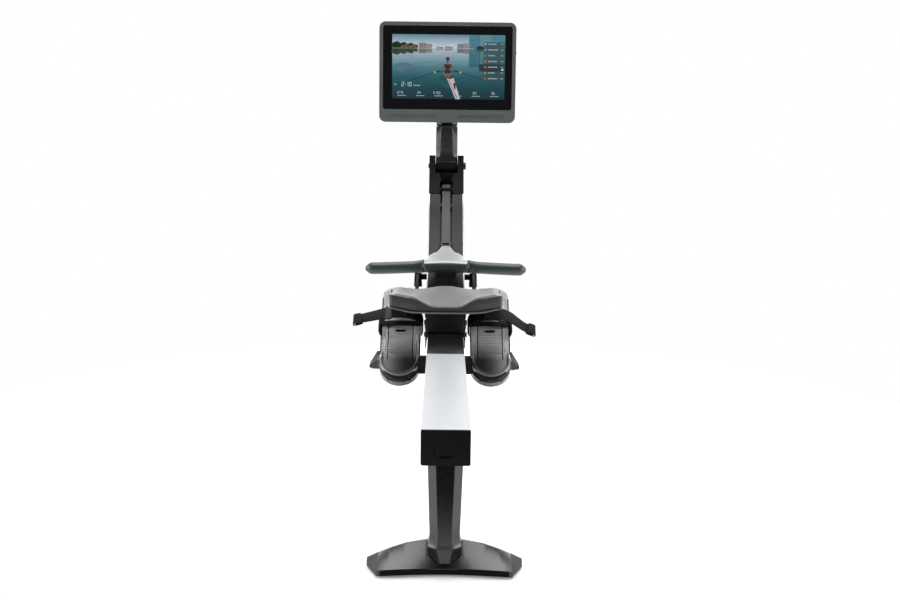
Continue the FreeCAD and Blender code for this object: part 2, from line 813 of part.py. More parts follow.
def make_brake_magnet():
    """Arc of electromagnet round the flywheel's rim, on a foot that bolts to the frame."""
    y, z = nose_centre
    inner = flywheel_radius + brake_gap
    x0, x1 = flywheel_x
    arc = ring_x(nose_centre, inner, inner + brake_depth, x0 + 1, x1 - 1)
    wedge = prism_x([(y, z), (y + 160, z - 60), (y + 160, z - 200), (y + 10, z - 200)], -60, 60)
    magnet = arc.common(wedge)
    foot = box(-frame_plate_x, x0 + 1.5, y + 14, y + 34, z - 108, z - 84)
    return magnet.fuse(foot.cut(cyl_x(nose_centre, inner, -60, 0)))


def make_control_board():
    x0 = -frame_plate_x + 5
    board = box(x0, x0 + 1.6, 585, 670, 300, 350)
    for y, z, dy, dz in ((600, 306, 26, 20), (640, 310, 18, 12), (604, 334, 12, 10), (632, 330, 26, 12)):
        board = board.fuse(box(x0 + 1.6, x0 + 9, y, y + dy, z, z + dz))
    for y in (590, 665):
        for z in (305, 345):
            board = board.fuse(cyl_x((y, z), 3, -frame_plate_x, x0))
    return board


def make_power_inlet():
    """Socket for a mains lead, with three round pins."""
    low, high = inlet_z
    half = inlet_x - 0.2
    inlet = box(-half, half, front_end - 24, front_end - 3.2, low + 0.2, high - 0.2)
    inlet = inlet.cut(box(-half + 2.8, half - 2.8, front_end - 20, front_end, low + 3, high - 3))
    for x in (-6.0, 0.0, 6.0):
        pin = Part.makeCylinder(1.4, 14, V(x, front_end - 22, (low + high) / 2), V(0, 1, 0))
        inlet = inlet.fuse(pin)
    return inlet


# ---- webbing and handle ------------------------------------------------------------------
def make_idler():
    half = webbing_width / 2 + 0.5
    bore = bolt_radius + running
    idler = ring_x(idler_centre, bore, idler_radius, -half, half)
    for x in (-half - 2, half):
        idler = idler.fuse(ring_x(idler_centre, bore, idler_radius + 3, x, x + 2))
    return idler


def make_webbing():
    """Flat strap: taut from the link to the idler, over it, and down to the roll."""
    half = webbing_thickness / 2
    start = V(0, neck_pin[0], neck_pin[1]) + chord * (link_length + gap)
    over = V(0, idler_centre[0], idler_centre[1])
    roll = V(0, spool_centre[0], spool_centre[1])
    first = math.atan2(-chord_normal.z, -chord_normal.y)
    span = over - roll
    lean = math.asin((roll_radius + half - idler_reach) / span.Length)
    last = math.atan2(span.z, span.y) - math.pi / 2 + lean

    def ring_point(centre, radius, angle):
        return V(0, centre.y + radius * math.cos(angle), centre.z + radius * math.sin(angle))

    edges = []
    ends = []
    for offset in (half, -half):
        radius = idler_reach + offset
        touch = ring_point(over, radius, first)
        leave = ring_point(over, radius, last)
        meet = ring_point(roll, roll_radius + half + offset, last)
        origin = start - chord_normal * offset
        edges.append(Part.makeLine(origin, touch))
        edges.append(Part.Arc(touch, ring_point(over, radius, (first + last) / 2), leave).toShape())
        edges.append(Part.makeLine(leave, meet))
        ends.append((origin, meet))
    for outer, inner in zip(*ends):
        edges.append(Part.makeLine(outer, inner))
    face = Part.Face(Part.Wire(Part.__sortEdges__(edges)))
    face.translate(V(-webbing_width / 2, 0, 0))
    return face.extrude(V(webbing_width, 0, 0))


def along_chord(shape):
    shape.rotate(V(0, 0, 0), V(1, 0, 0), chord_angle)
    shape.translate(V(0, neck_pin[0], neck_pin[1]))
    return shape


def make_webbing_link():
    """Buckle at the webbing's end, with the pin that the handle turns on."""
    link = box(-link_half, link_half, 0, link_length, -2.5, 2.5)
    link = link.fuse(cyl_x((0, 0), 2 * pin_radius, -link_half, link_half))
    link = link.cut(box(3 - link_half, link_half - 3, 11, 20, -3, 3))
    link = link.fuse(cyl_x((0, 0), pin_radius, 1 - fork_half, fork_half - 1))
    return along_chord(link)


def handle_frame(shape):
    """From handle axes (X across, +Y from the pin to the grips) to the machine's."""
    down = V(0, grip_axis[0] - neck_pin[0], grip_axis[1] - neck_pin[1])
    angle = math.degrees(math.atan2(down.z, down.y))
    shape.rotate(V(0, 0, 0), V(1, 0, 0), angle)
    shape.translate(V(0, neck_pin[0], neck_pin[1]))
    return shape


def grip_line():
    start = V(grip_start, neck_length, 0)
    end = V(handle_half, neck_length + grip_sweep, 0)
    return start, (end - start)


def make_handle_core():
    """Flat neck that widens from its forked end to the bar, and the tube inside the grips."""
    right = [(fork_half, -8), (fork_half + 2, 24), (grip_start - 3, neck_length - 14),
             (grip_start, neck_length - 10), (grip_start, neck_length + 10)]
    left = [(-x, y) for x, y in right[::-1]]
    core = prism_z(right + left, -neck_half, neck_half)
    core = core.fuse(cyl_x((neck_length, 0), grip_radius, -grip_start, grip_start))
    start, run = grip_line()
    tube = Part.makeCylinder(handle_tube_radius, run.Length - 6, start - run.normalize() * 6, run)
    core = core.fuse(tube).fuse(mirrored(tube))
    core = core.cut(box(-fork_gap, fork_gap, -20, fork_depth, -20, 20))
    core = core.cut(cyl_x((0, 0), pin_radius + running, -30, 30))
    return handle_frame(core)


def make_grip(side):
    start, run = grip_line()
    length = run.Length
    direction = run.normalize()
    grip = Part.makeCylinder(grip_radius, length - 1.5, start + direction * 1.5, direction)
    rim = [e for e in grip.Edges if e.Curve.TypeId == "Part::GeomCircle"]
    far = max(rim, key=lambda e: e.CenterOfMass.x)
    grip = grip.makeFillet(7, [far])
    grip = grip.cut(Part.makeCylinder(handle_tube_radius, length - 5, start - direction * 1, direction))
    if side < 0:
        grip = mirrored(grip)
    return handle_frame(grip)


# ---- seat --------------------------------------------------------------------------------
def across(heights):
    """Full-width line from the heights on one side."""
    right = [(x, z) for x, z in zip(cushion_x, heights)]
    left = [(-x, z) for x, z in right[:0:-1]]
    return left + right


def seat_section(y, top, scale):
    upper = across(top)
    lower = across(tray_z)
    points = [V(x * scale, y, z) for x, z in upper]
    points += [V(x * scale, y, z) for x, z in lower[::-1]]
    return points


def make_seat_cushion():
    return loft([
        seat_section(seat_rear, rear_top, 1.0),
        seat_section(cushion_middle, middle_top, 1.0),
        seat_section(seat_front, front_top, 0.98),
    ])


def make_seat_tray():
    sections = []
    for y, scale in ((seat_rear + 2, 1.0), (cushion_middle, 1.0), (seat_front - 2, 0.98)):
        upper = across([z - gap for z in tray_z])
        lower = across([z - 5 for z in tray_z])
        points = [V(x * scale, y, z) for x, z in upper]
        points += [V(x * scale, y, z) for x, z in lower[::-1]]
        sections.append(points)
    return loft(sections)


def make_seat_carriage():
    y0, y1 = carriage
    outer = bracket_x + bracket_thickness
    frame = box(-outer, outer, y0, y1, carriage_top - 6, carriage_top)
    for side in (-1, 1):
        x0 = bracket_x if side > 0 else -outer
        low = guide_axle_z - 11
        plate = prism_x([(y0, carriage_top - 6), (y1, carriage_top - 6), (y1, 272), (y1 - 14, low),
                         (y1 - 42, low), (y1 - 60, 268), (y0 + 60, 268), (y0 + 42, low),
                         (y0 + 14, low), (y0, 272)], x0, x0 + bracket_thickness)
        frame = frame.fuse(plate)
    for y in roller_places:
        frame = frame.cut(cyl_x((y, roller_axle_z), roller_axle_radius, -60, 60))
        frame = frame.cut(cyl_x((y, guide_axle_z), guide_axle_radius, -60, 60))
        bosses = box(-14, 14, y - 8, y + 8, roller_axle_z + 4, carriage_top - 5)
        bosses = bosses.cut(cyl_x((y, roller_axle_z), roller_axle_radius, -60, 60))
        frame = frame.fuse(bosses)
    skirt = box(-45, 45, y0 - 4, y0, rail_top + 2, carriage_top)
    front = box(-45, 45, y1, y1 + 3, rail_top + 14, carriage_top)
    return frame.fuse(skirt).fuse(front)


def make_roller_axles():
    outer = bracket_x + bracket_thickness
    axles = []
    for y in roller_places:
        axle = cyl_x((y, roller_axle_z), roller_axle_radius, -outer, outer)
        for x in (-outer - 4, outer):
            axle = axle.fuse(cyl_x((y, roller_axle_z), 7, x, x + 4))
        axles.append(axle)
        stub = cyl_x((y, guide_axle_z), guide_axle_radius, 38, outer)
        stub = stub.fuse(cyl_x((y, guide_axle_z), 6, outer, outer + 4))
        axles.append(stub)
        axles.append(mirrored(stub))
    return Part.makeCompound(axles)


def make_rollers(y):
    roller = ring_x((y, roller_axle_z), roller_axle_radius + running, roller_radius, 20, 40)
    return both_sides(roller)


def make_seat_glides():
    """Plastic shoes under the rail's flange that stop the seat lifting."""
    glides = []
    for y in roller_places:
        z = guide_axle_z
        shoe = box(37.5, bracket_x, y - 13, y + 13, z - guide_radius, z + guide_radius)
        shoe = shoe.cut(cyl_x((y, z), guide_axle_radius, 30, 60))
        glides += [shoe, mirrored(shoe)]
    return Part.makeCompound(glides)


# ---- footbeds ----------------------------------------------------------------------------
def place_footbed(shape, side):
    """From footbed axes (X across, +Y heel to toe, +Z towards the shoe) to the machine's."""
    shape.rotate(V(0, 0, 0), V(1, 0, 0), math.degrees(footbed_angle))
    shape.translate(V(footbed_centre, footbed_heel[0], footbed_heel[1]))
    return shape if side > 0 else mirrored(shape)


def sole(half, start, end, z0, z1, toe):
    """Slab with a round heel and rounded toe corners."""
    slab = prism_z([(-half, start + half), (half, start + half), (half, end - toe),
                    (half - toe, end), (toe - half, end), (-half, end - toe)], z0, z1)
    slab = slab.fuse(cyl_z(0, start + half, half, z0, z1))
    for x in (toe - half, half - toe):
        slab = slab.fuse(cyl_z(x, end - toe, toe, z0, z1))
    return slab


def make_footbed(side):
    """Board with a round heel and a long recess in which the heel cup's panel slides."""
    board = sole(footbed_half, footbed_start, footbed_end, -footbed_thickness, 0, toe_corner)
    recess = box(-panel_half - gap, panel_half + gap, footbed_start + 6, footbed_end - 9,
                 -panel_thickness - gap, 1)
    return place_footbed(board.cut(recess), side)


def make_heel_cup(side):
    """Wall round the heel with a low floor, on the ribbed panel that slides in the board."""
    start = footbed_start + 12
    panel = box(-panel_half, panel_half, start, panel_end, -panel_thickness, 0)
    panel = panel.cut(box(-panel_slot_half, panel_slot_half, *panel_slot, -10, 10))
    outer = footbed_half - 4
    centre = footbed_start + footbed_half
    floor_top = gap + 3
    cup = cyl_z(0, centre, outer, gap, cup_height)
    cup = cup.cut(cyl_z(0, centre, outer - cup_wall, floor_top, cup_height + 1))
    cup = cup.cut(box(-60, 60, centre, 160, gap - 1, cup_height + 1))
    cup = cup.cut(box(-cup_window_half, cup_window_half, 0, centre, *cup_window))
    for x in (-outer, outer - cup_wall):
        side_wall = prism_x([(centre, gap), (centre + cup_side, gap), (centre, cup_height)], x, x + cup_wall)
        cup = cup.fuse(side_wall)
    floor = box(-outer, outer, centre, centre + 20, gap, floor_top)
    joint = box(-panel_half, panel_half, start + 2, centre + 10, -1, gap + 1)
    return place_footbed(cup.fuse(floor).fuse(joint).fuse(panel), side)


def make_foot_strap(side):
    """Webbing arched over the shoe, with its free tail standing out to the side."""
    upper = [(-x, z) for x, z in strap_line] + list(strap_line[::-1])
    centre = (0.0, 12.0)
    lower = []
    for x, z in upper:
        reach = math.hypot(x - centre[0], z - centre[1])
        shrink = 1 - strap_thickness / reach
        lower.append((centre[0] + (x - centre[0]) * shrink, centre[1] + (z - centre[1]) * shrink))
    strap = prism_y(upper + lower[::-1], strap_place - strap_half, strap_place + strap_half)
    reach = tail_end - footbed_centre
    tail = prism_y([(36, 46.3), (70, 49), (reach, 40), (reach, 40 - strap_thickness),
                    (70, 49 - strap_thickness), (54, 44), (40, 43)],
                   strap_place - strap_half, strap_place + strap_half)
    strap = strap.fuse(tail)
    return place_footbed(strap, side)


def make_toe_strut(side):
    """Plate from the upper crossbar to the underside of the footbed's toe."""
    def under(y):
        point = V(0, y, -footbed_thickness)
        turned = FreeCAD.Rotation(V(1, 0, 0), math.degrees(footbed_angle)).multVec(point)
        return (footbed_heel[0] + turned.y, footbed_heel[1] + turned.z)

    low = under(262)
    high = under(332)
    strut = prism_x([low, high, (448, 350), (490, 350), (490, 322), (452, 318), (low[0] + 30, low[1] - 14)],
                    *strut_x)
    return strut if side > 0 else mirrored(strut)


def make_toe_frame():
    """Crossbar through the column with a strut to each footbed's toe welded on."""
    bar = box(-crossbar_half, crossbar_half, *crossbar_y, *crossbar_z)
    return bar.fuse(make_toe_strut(1)).fuse(make_toe_strut(-1))


def make_lower_crossbar():
    """Bar under the rail with a round boss at each end that the footbeds bolt to."""
    half = lower_crossbar_half
    boss = cyl_x(boss_centre, 13, half - 4, half - 4 + boss_length)
    bar = box(-half, half, -40, -8, boss_centre[1] - 10, rail_bottom)
    bar = bar.fuse(boss).fuse(mirrored(boss))
    for side in (-1, 1):
        bar = bar.cut(make_footbed(side))
    return bar


# ---- display -----------------------------------------------------------------------------
def make_display_arm():
    arm = loft([leg_section(*section) for section in arm_sections])
    arm = arm.fuse(cyl_x(arm_pivot, arm_barrel, -arm_half, arm_half))
    arm = arm.cut(cyl_x(arm_pivot, arm_pin_radius + running, -60, 60))
    return arm.cut(cyl_z(0, swivel_y, swivel_radius + running, 900, 930))


def make_pivot_bolt():
    half = column_width / 2
    bolt = cyl_x(arm_pivot, arm_pin_radius, -half - 1, half + 1)
    bolt = bolt.fuse(cyl_x(arm_pivot, 8, -half - 3, -half))
    return bolt.fuse(cyl_x(arm_pivot, 11, half, half + 7))


def make_swivel_bracket():
    """Upright pin in the arm's head, with two ears for the tilt pin."""
    y, z = tilt_axis
    half = hinge_gap + 10
    bracket = cyl_z(0, swivel_y, swivel_radius, 902, 926).fuse(cyl_z(0, swivel_y, 16, 925.5, 947))
    bracket = bracket.fuse(box(-half, half, y - 6, swivel_y, z - 8, z + 8))
    bracket = bracket.fuse(cyl_x(tilt_axis, 8, -half, half))
    bracket = bracket.cut(box(-hinge_gap, hinge_gap, y - 12, y + 12, z - 16, z + 24))
    return bracket.fuse(cyl_x(tilt_axis, tilt_pin_radius, -half - 2, half + 2))


def make_tilt_hinge():
    """Tongue on the display's back that turns on the tilt pin."""
    y, z = tilt_axis
    back = display_face + display_depth
    half = hinge_gap - 0.5
    tongue = box(-half, half, back + 3, y, z - 7, z + 7).fuse(cyl_x(tilt_axis, 7, -half, half))
    tongue = tongue.fuse(box(-50, 50, back, back + 4, z - 50, z + 50))
    return tongue.cut(cyl_x(tilt_axis, tilt_pin_radius + running, -40, 40))


def display_block(inset, y0, y1, radius):
    half = display_width / 2 - inset
    return rounded_y(-half, half, y0, y1, display_bottom + inset, display_top - inset, radius)


def make_display_bezel():
    bezel = display_block(0, display_face, display_face + bezel_depth, display_corner)
    half = glass_width / 2
    bezel = bezel.cut(rounded_y(-half, half, display_face - 1, display_face + bezel_depth + 1,
                                glass_bottom, glass_top, 8))
    slot = box(*grille_x, display_face - 1, display_face + 3, display_bottom + grille_z[0],
               display_bottom + grille_z[1])
    return bezel.cut(slot).cut(mirrored(slot)).cut(power_button_hole())


def make_speaker_grilles():
    bar = box(grille_x[0] + 0.2, grille_x[1] - 0.2, display_face + 1.2, display_face + 2.8,
              display_bottom + grille_z[0] + 0.2, display_bottom + grille_z[1] - 0.2)
    return both_sides(bar)


def make_display_rear_shell():
    front = display_face + bezel_depth
    back = display_face + display_depth
    shell = display_block(0, front, back, display_corner)
    rear_edges = [e for e in shell.Edges
                  if abs(e.Vertexes[0].Y - back) < 1e-6 and abs(e.Vertexes[-1].Y - back) < 1e-6]
    shell = shell.makeChamfer(5, rear_edges)
    hollow = display_block(shell_wall, front - 1, back - shell_wall, display_corner - shell_wall)
    shell = shell.cut(hollow)
    for row in range(4):
        z = display_bottom + 40 + row * 9
        shell = shell.cut(box(-70, 70, back - 10, back + 1, z, z + 3))
    return shell.cut(power_button_hole())


def make_display_glass():
    half = glass_width / 2 - 0.2
    return rounded_y(-half, half, display_face + 0.4, display_face + 3, glass_bottom + 0.2,
                     glass_top - 0.2, 8)


def make_display_panel():
    middle = (glass_bottom + glass_top) / 2
    return box(-screen_width / 2 - 6, screen_width / 2 + 6, display_face + 3, display_face + 9,
               middle - screen_height / 2 - 6, middle + screen_height / 2 + 6)


def make_display_electronics():
    """Screen panel behind the glass, main board on its stand-offs, and two speaker boxes."""
    y0 = display_face + 16
    board = box(-90, 90, y0, y0 + 1.6, 880, 990)
    for x, z, w, h in ((-70, 900, 40, 30), (-10, 920, 30, 30), (40, 895, 30, 50), (-60, 950, 60, 20)):
        board = board.fuse(box(x, x + w, y0 + 1.6, y0 + 5, z, z + h))
    for x in (-84, 84):
        for z in (886, 984):
            board = board.fuse(Part.makeCylinder(3, 7, V(x, y0 - 7, z), V(0, 1, 0)))
    drivers = [board, make_display_panel()]
    for x in (-107.0, 107.0):
        drivers.append(box(x - 60, x + 60, display_face + bezel_depth + 1, display_face + 28,
                           display_bottom + 8, display_bottom + 32))
    return Part.makeCompound(drivers)


def power_button_hole():
    half = display_width / 2
    return cyl_x(button_place, 5.1, half - 10, half + 3)


def make_power_button():
    half = display_width / 2
    button = cyl_x(button_place, 5, half - 4.5, half + 1.6)
    return button.fuse(cyl_x(button_place, 7, half - 7, half - 4.5))


# ---- write the parts ---------------------------------------------------------------------
def single_parts():
    return {
        "rail": make_rail(),
        "rail_top_inlay": make_rail_inlay(),
        "rail_end_cap": make_rail_end_cap(),
        "rail_stops": make_rail_stops(),
        "rear_stand": make_rear_stand(),
        "front_stand": make_front_stand(),
        "foot_end_caps": make_foot_end_caps(),
        "lower_crossbar": make_lower_crossbar(),
        "toe_frame": make_toe_frame(),
        "column_frame": make_column_frame(),
        "frame_fasteners": make_frame_fasteners(),
        "column_fascia": make_column_fascia(),
        "column_back_cover": make_column_back_cover(),
        "column_cap": make_column_cap(),
        "fairlead": make_fairlead(),
        "handle_dock": make_handle_dock(),
        "webbing_spool": make_webbing_spool(),
        "drive_pulley": make_drive_pulley(),
        "recoil_cartridge": make_recoil_cartridge(),
        "flywheel": make_flywheel(),
        "flywheel_shaft": make_flywheel_shaft(),
        "shaft_bearings": make_shaft_bearings(),
        "drive_belt": make_drive_belt(),
        "brake_magnet": make_brake_magnet(),
        "control_board": make_control_board(),
        "power_inlet": make_power_inlet(),
        "webbing_roller": make_idler(),
        "webbing": make_webbing(),
        "webbing_link": make_webbing_link(),
        "handle_core": make_handle_core(),
        "handle_grips": Part.makeCompound([make_grip(1), make_grip(-1)]),
        "seat_cushion": make_seat_cushion(),
        "seat_tray": make_seat_tray(),
        "seat_carriage": make_seat_carriage(),
        "seat_glides": make_seat_glides(),
        "roller_axles": make_roller_axles(),
        "seat_rollers_rear": make_rollers(roller_places[0]),
        "seat_rollers_front": make_rollers(roller_places[1]),
        "display_arm": make_display_arm(),
        "arm_pivot_bolt": make_pivot_bolt(),
        "swivel_bracket": make_swivel_bracket(),
        "tilt_hinge": make_tilt_hinge(),
        "display_bezel": make_display_bezel(),
        "speaker_grilles": make_speaker_grilles(),
        "display_rear_shell": make_display_rear_shell(),
        "display_glass": make_display_glass(),
        "display_electronics": make_display_electronics(),
        "power_button": make_power_button(),
    }


def paired_parts():
    parts = {}
    for name, side in (("right", 1), ("left", -1)):
        wheel = make_wheel()
        cover = make_side_cover()
        parts["transport_wheel_" + name] = wheel if side > 0 else mirrored(wheel)
        parts["side_cover_" + name] = cover if side > 0 else mirrored(cover)
        parts["nose_shell_" + name] = make_nose_shell(side)
        parts["footbed_" + name] = make_footbed(side)
        parts["heel_cup_" + name] = make_heel_cup(side)
        parts["foot_strap_" + name] = make_foot_strap(side)
    return parts


def main():
    os.makedirs("parts", exist_ok=True)
    for name, shape in {**single_parts(), **paired_parts()}.items():
        export(name, shape)


main()
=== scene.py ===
"""Connected rowing machine: its looks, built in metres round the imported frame."""
import bmesh
import bpy
import json
from math import asin, atan2, cos, pi, radians, sin
from mathutils import Matrix, Vector


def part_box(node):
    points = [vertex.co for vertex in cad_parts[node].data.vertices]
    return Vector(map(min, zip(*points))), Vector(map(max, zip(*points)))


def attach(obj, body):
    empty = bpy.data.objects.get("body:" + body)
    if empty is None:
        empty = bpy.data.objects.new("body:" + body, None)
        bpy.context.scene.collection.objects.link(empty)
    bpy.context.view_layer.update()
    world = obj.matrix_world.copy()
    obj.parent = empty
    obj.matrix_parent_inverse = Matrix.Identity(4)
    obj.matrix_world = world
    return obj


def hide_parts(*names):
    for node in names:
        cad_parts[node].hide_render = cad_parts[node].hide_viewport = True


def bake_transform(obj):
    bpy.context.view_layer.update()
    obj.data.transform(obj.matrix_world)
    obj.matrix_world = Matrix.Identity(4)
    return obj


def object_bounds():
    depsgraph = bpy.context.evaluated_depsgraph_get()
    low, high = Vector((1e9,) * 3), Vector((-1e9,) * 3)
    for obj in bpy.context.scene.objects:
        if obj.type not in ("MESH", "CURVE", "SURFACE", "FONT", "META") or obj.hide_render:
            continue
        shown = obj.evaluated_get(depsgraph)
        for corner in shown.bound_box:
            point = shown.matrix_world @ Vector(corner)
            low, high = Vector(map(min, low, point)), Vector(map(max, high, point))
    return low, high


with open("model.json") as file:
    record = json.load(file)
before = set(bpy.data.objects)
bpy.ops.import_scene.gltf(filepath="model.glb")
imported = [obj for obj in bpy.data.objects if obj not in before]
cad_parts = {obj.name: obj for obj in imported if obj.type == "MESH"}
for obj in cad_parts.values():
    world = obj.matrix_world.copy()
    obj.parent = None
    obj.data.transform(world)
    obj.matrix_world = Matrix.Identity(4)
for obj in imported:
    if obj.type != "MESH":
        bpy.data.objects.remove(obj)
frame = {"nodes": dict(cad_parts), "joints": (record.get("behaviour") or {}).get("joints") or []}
cad_low, cad_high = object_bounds()
nodes = frame["nodes"]
scene = bpy.context.scene
mm = 0.001

# ---- places read from the frame ----
bar_radius = 17.0
footbed_half = 51.0
heel_start = 17.0
footbed_thickness = 16.0
joints = {joint["name"]: joint for joint in frame["joints"]}
pin_place = Vector(joints["handle_pivot"]["pos_m"])
core_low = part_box("handle_core")[0]
bar_place = Vector((0, core_low.y + bar_radius * mm, core_low.z + bar_radius * mm))
neck_length = (bar_place - pin_place).length / mm
handle_down = (bar_place - pin_place).normalized()
handle_up = Vector((0, handle_down.z, -handle_down.y))
bed_along = Vector(joints["heel_slide_right"]["axis"]).yz.normalized()
bed_up = Vector((-bed_along.y, bed_along.x))
bed_low, bed_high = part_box("footbed_right")
footbed_x = (bed_low.x + bed_high.x) / 2
heel_place = Vector((bed_low.y - heel_start * bed_along.x * mm,
                     bed_low.z - (heel_start * bed_along.y - footbed_thickness * bed_along.x) * mm))


# ---- camera, light and floor ----
def make_camera():
    """Beyond the seat end and a little above it, looking along the rail."""
    lens = bpy.data.cameras.new("camera")
    lens.lens = 48.2
    lens.clip_start = 0.05
    lens.clip_end = 60
    camera = bpy.data.objects.new("camera", lens)
    place = Matrix.Translation((-0.008, cad_low.y - 1.987, 0.7765))
    turn = Matrix.Rotation(radians(-0.357), 4, "Z")
    tilt = Matrix.Rotation(radians(90 - 8.31), 4, "X")
    roll = Matrix.Rotation(radians(0.66), 4, "Z")
    camera.matrix_world = place @ turn @ tilt @ roll
    scene.collection.objects.link(camera)
    scene.camera = camera


def make_softbox(name, place, target, width, height, radiance):
    """Rectangular light of the brightness given, facing a target."""
    lamp = bpy.data.lights.new(name, "AREA")
    lamp.shape = "RECTANGLE"
    lamp.size = width
    lamp.size_y = height
    lamp.energy = radiance * pi * width * height
    box = bpy.data.objects.new(name, lamp)
    box.location = place
    box.rotation_euler = (Vector(target) - Vector(place)).to_track_quat("-Z", "Y").to_euler()
    scene.collection.objects.link(box)


def make_studio():
    """White room: soft light from above, both sides and behind the screen."""
    scene.view_settings.view_transform = "Standard"
    world = bpy.data.worlds.new("studio")
    world.use_nodes = True
    tree = world.node_tree
    room = tree.nodes["Background"]
    fill(room.inputs, {"Color": (0.9, 0.95, 1.0, 1), "Strength": 0.07})
    white = add(tree, "Background", {"Color": (1, 1, 1, 1), "Strength": 1.0})
    seen = add(tree, "LightPath")
    both = add(tree, "MixShader", {0: seen.outputs["Is Camera Ray"], 1: room.outputs[0], 2: white.outputs[0]})
    tree.links.new(both.outputs[0], tree.nodes["World Output"].inputs["Surface"])
    scene.world = world
    middle = (0, 0.1, 0.4)
    make_softbox("top_light", (0, 0.5, 2.9), (0, 0.3, 0), 2.2, 2.6, 4.8)
    make_softbox("back_light", (0, 4.6, 1.7), middle, 7.0, 3.4, 3.5)
    for side in (-1, 1):
        make_softbox("side_light", (side * 3.0, -0.4, 1.0), middle, 3.6, 2.2, 4.7)
        make_softbox("wing_light", (side * 2.5, 1.7, 2.3), middle, 2.2, 1.8, 1.2)


def make_floor():
    """Pale floor that thins out into the white room round it."""
    floor = mesh_object("floor", [(-6, -6, 0), (6, -6, 0), (6, 6, 0), (-6, 6, 0)], [(0, 1, 2, 3)])
    material, tree, paint = new_material("floor_paint")
    fill(paint, {"Base Color": (0.93, 0.93, 0.93, 1), "Roughness": 0.8, "Emission Color": (1, 1, 1, 1),
                 "Emission Strength": 0.2})
    place = add(tree, "TexCoord").outputs["Object"]
    far = add(tree, "VectorMath", {0: place}, operation="LENGTH")
    fade = remap(tree, far.outputs["Value"], 1.12, 1.35, 0, 1)
    clear = add(tree, "BsdfTransparent")
    painted = tree.nodes["Principled BSDF"].outputs[0]
    thinned = add(tree, "MixShader", {0: fade, 1: painted, 2: clear.outputs[0]})
    tree.links.new(thinned.outputs[0], tree.nodes["Material Output"].inputs["Surface"])
    floor.data.materials.append(material)


# ---- mesh helpers ----
def mesh_object(name, points, faces):
    mesh = bpy.data.meshes.new(name)
    mesh.from_pydata(points, [], faces)
    mesh.update()
    made = bpy.data.objects.new(name, mesh)
    scene.collection.objects.link(made)
    return made


def smooth(piece):
    for face in piece.data.polygons:
        face.use_smooth = True
    return piece


def ease(x, low=0.0, high=1.0):
    """0 below low, 1 above high, smooth between."""
    t = min(max((x - low) / (high - low), 0.0), 1.0)
    return t * t * (3 - 2 * t)


def mix(a, b, t):
    return a + (b - a) * t


def block(name, counts, place):
    """Closed block of quads; place(u, v, w) sets each surface point, u, v and w from 0 to 1."""
    points = []
    index = {}
    faces = []

    def vertex(cell):
        if cell not in index:
            index[cell] = len(points)
            points.append(place(*(c / n for c, n in zip(cell, counts))))
        return index[cell]

    for axis in range(3):
        across = (axis + 1) % 3
        along = (axis + 2) % 3
        for end in (0, counts[axis]):
            for i in range(counts[across]):
                for j in range(counts[along]):
                    ring = [(i, j), (i + 1, j), (i + 1, j + 1), (i, j + 1)]
                    corners = []
                    for a, b in ring if end else ring[::-1]:
                        cell = [0, 0, 0]
                        cell[axis], cell[across], cell[along] = end, a, b
                        corners.append(vertex(tuple(cell)))
                    faces.append(corners)
    return mesh_object(name, points, faces)


def loft(name, rings, even=False):
    """Closed skin over rings of points, shaded evenly if asked."""
    count = len(rings[0])
    points = [p for ring in rings for p in ring]
    faces = []
    for row in range(len(rings) - 1):
        for i in range(count):
            j = (i + 1) % count
            a = row * count
            faces.append((a + i, a + j, a + count + j, a + count + i))
    faces.append(tuple(range(count))[::-1])
    faces.append(tuple(range(len(points) - count, len(points))))
    piece = mesh_object(name, points, faces)
    work = bmesh.new()
    work.from_mesh(piece.data)
    bmesh.ops.recalc_face_normals(work, faces=work.faces)
    work.to_mesh(piece.data)
    work.free()
    return smooth(piece) if even else piece


def soften(piece, width, segments=2, angle=30, welded=False):
    """Rounds the edges, width in millimetres, and evens the shading."""
    if welded:
        weld = piece.modifiers.new("weld", "WELD")
        weld.merge_threshold = 0.00002
    bevel = piece.modifiers.new("bevel", "BEVEL")
    bevel.width = width * mm
    bevel.segments = segments
    bevel.limit_method = "ANGLE"
    bevel.angle_limit = radians(angle)
    even = piece.modifiers.new("even", "WEIGHTED_NORMAL")
    even.weight = 80


# ---- material helpers ----
def fill(sockets, values):
    for key, value in values.items():
        sockets[key].default_value = value


def new_material(name):
    """A material, its node tree and the inputs of its shader."""
    material = bpy.data.materials.new(name)
    material.use_nodes = True
    return material, material.node_tree, material.node_tree.nodes["Principled BSDF"].inputs


def add(tree, kind, inputs=None, **settings):
    """Shader node with its settings, and its inputs linked or set."""
    made = tree.nodes.new("ShaderNode" + kind)
    for key, value in settings.items():
        setattr(made, key, value)
    for key, value in (inputs or {}).items():
        if isinstance(value, bpy.types.NodeSocket):
            tree.links.new(value, made.inputs[key])
        else:
            made.inputs[key].default_value = value
    return made


def grey(value, tint=(1, 1, 1)):
    return tuple(value * t for t in tint) + (1,)


def noise(tree, scale, stretch=(1, 1, 1), detail=3.0):
    """Noise over the piece's own coordinates; a low stretch draws it out along that axis."""
    place = add(tree, "TexCoord").outputs["Object"]
    scaled = add(tree, "VectorMath", {0: place, 1: stretch}, operation="MULTIPLY").outputs[0]
    return add(tree, "TexNoise", {"Vector": scaled, "Scale": scale, "Detail": detail}).outputs["Fac"]


def remap(tree, value, low, high, out_low, out_high):
    return add(tree, "MapRange", {"Value": value, "From Min": low, "From Max": high, "To Min": out_low,
                                  "To Max": out_high}).outputs["Result"]


def blend_colour(tree, factor, low, high, **settings):
    return add(tree, "Mix", {0: factor, 6: low, 7: high}, data_type="RGBA", **settings).outputs[2]


def bump(tree, height, distance):
    return add(tree, "Bump", {"Height": height, "Distance": distance}).outputs["Normal"]


# ---- finishes ----
finishes = {}


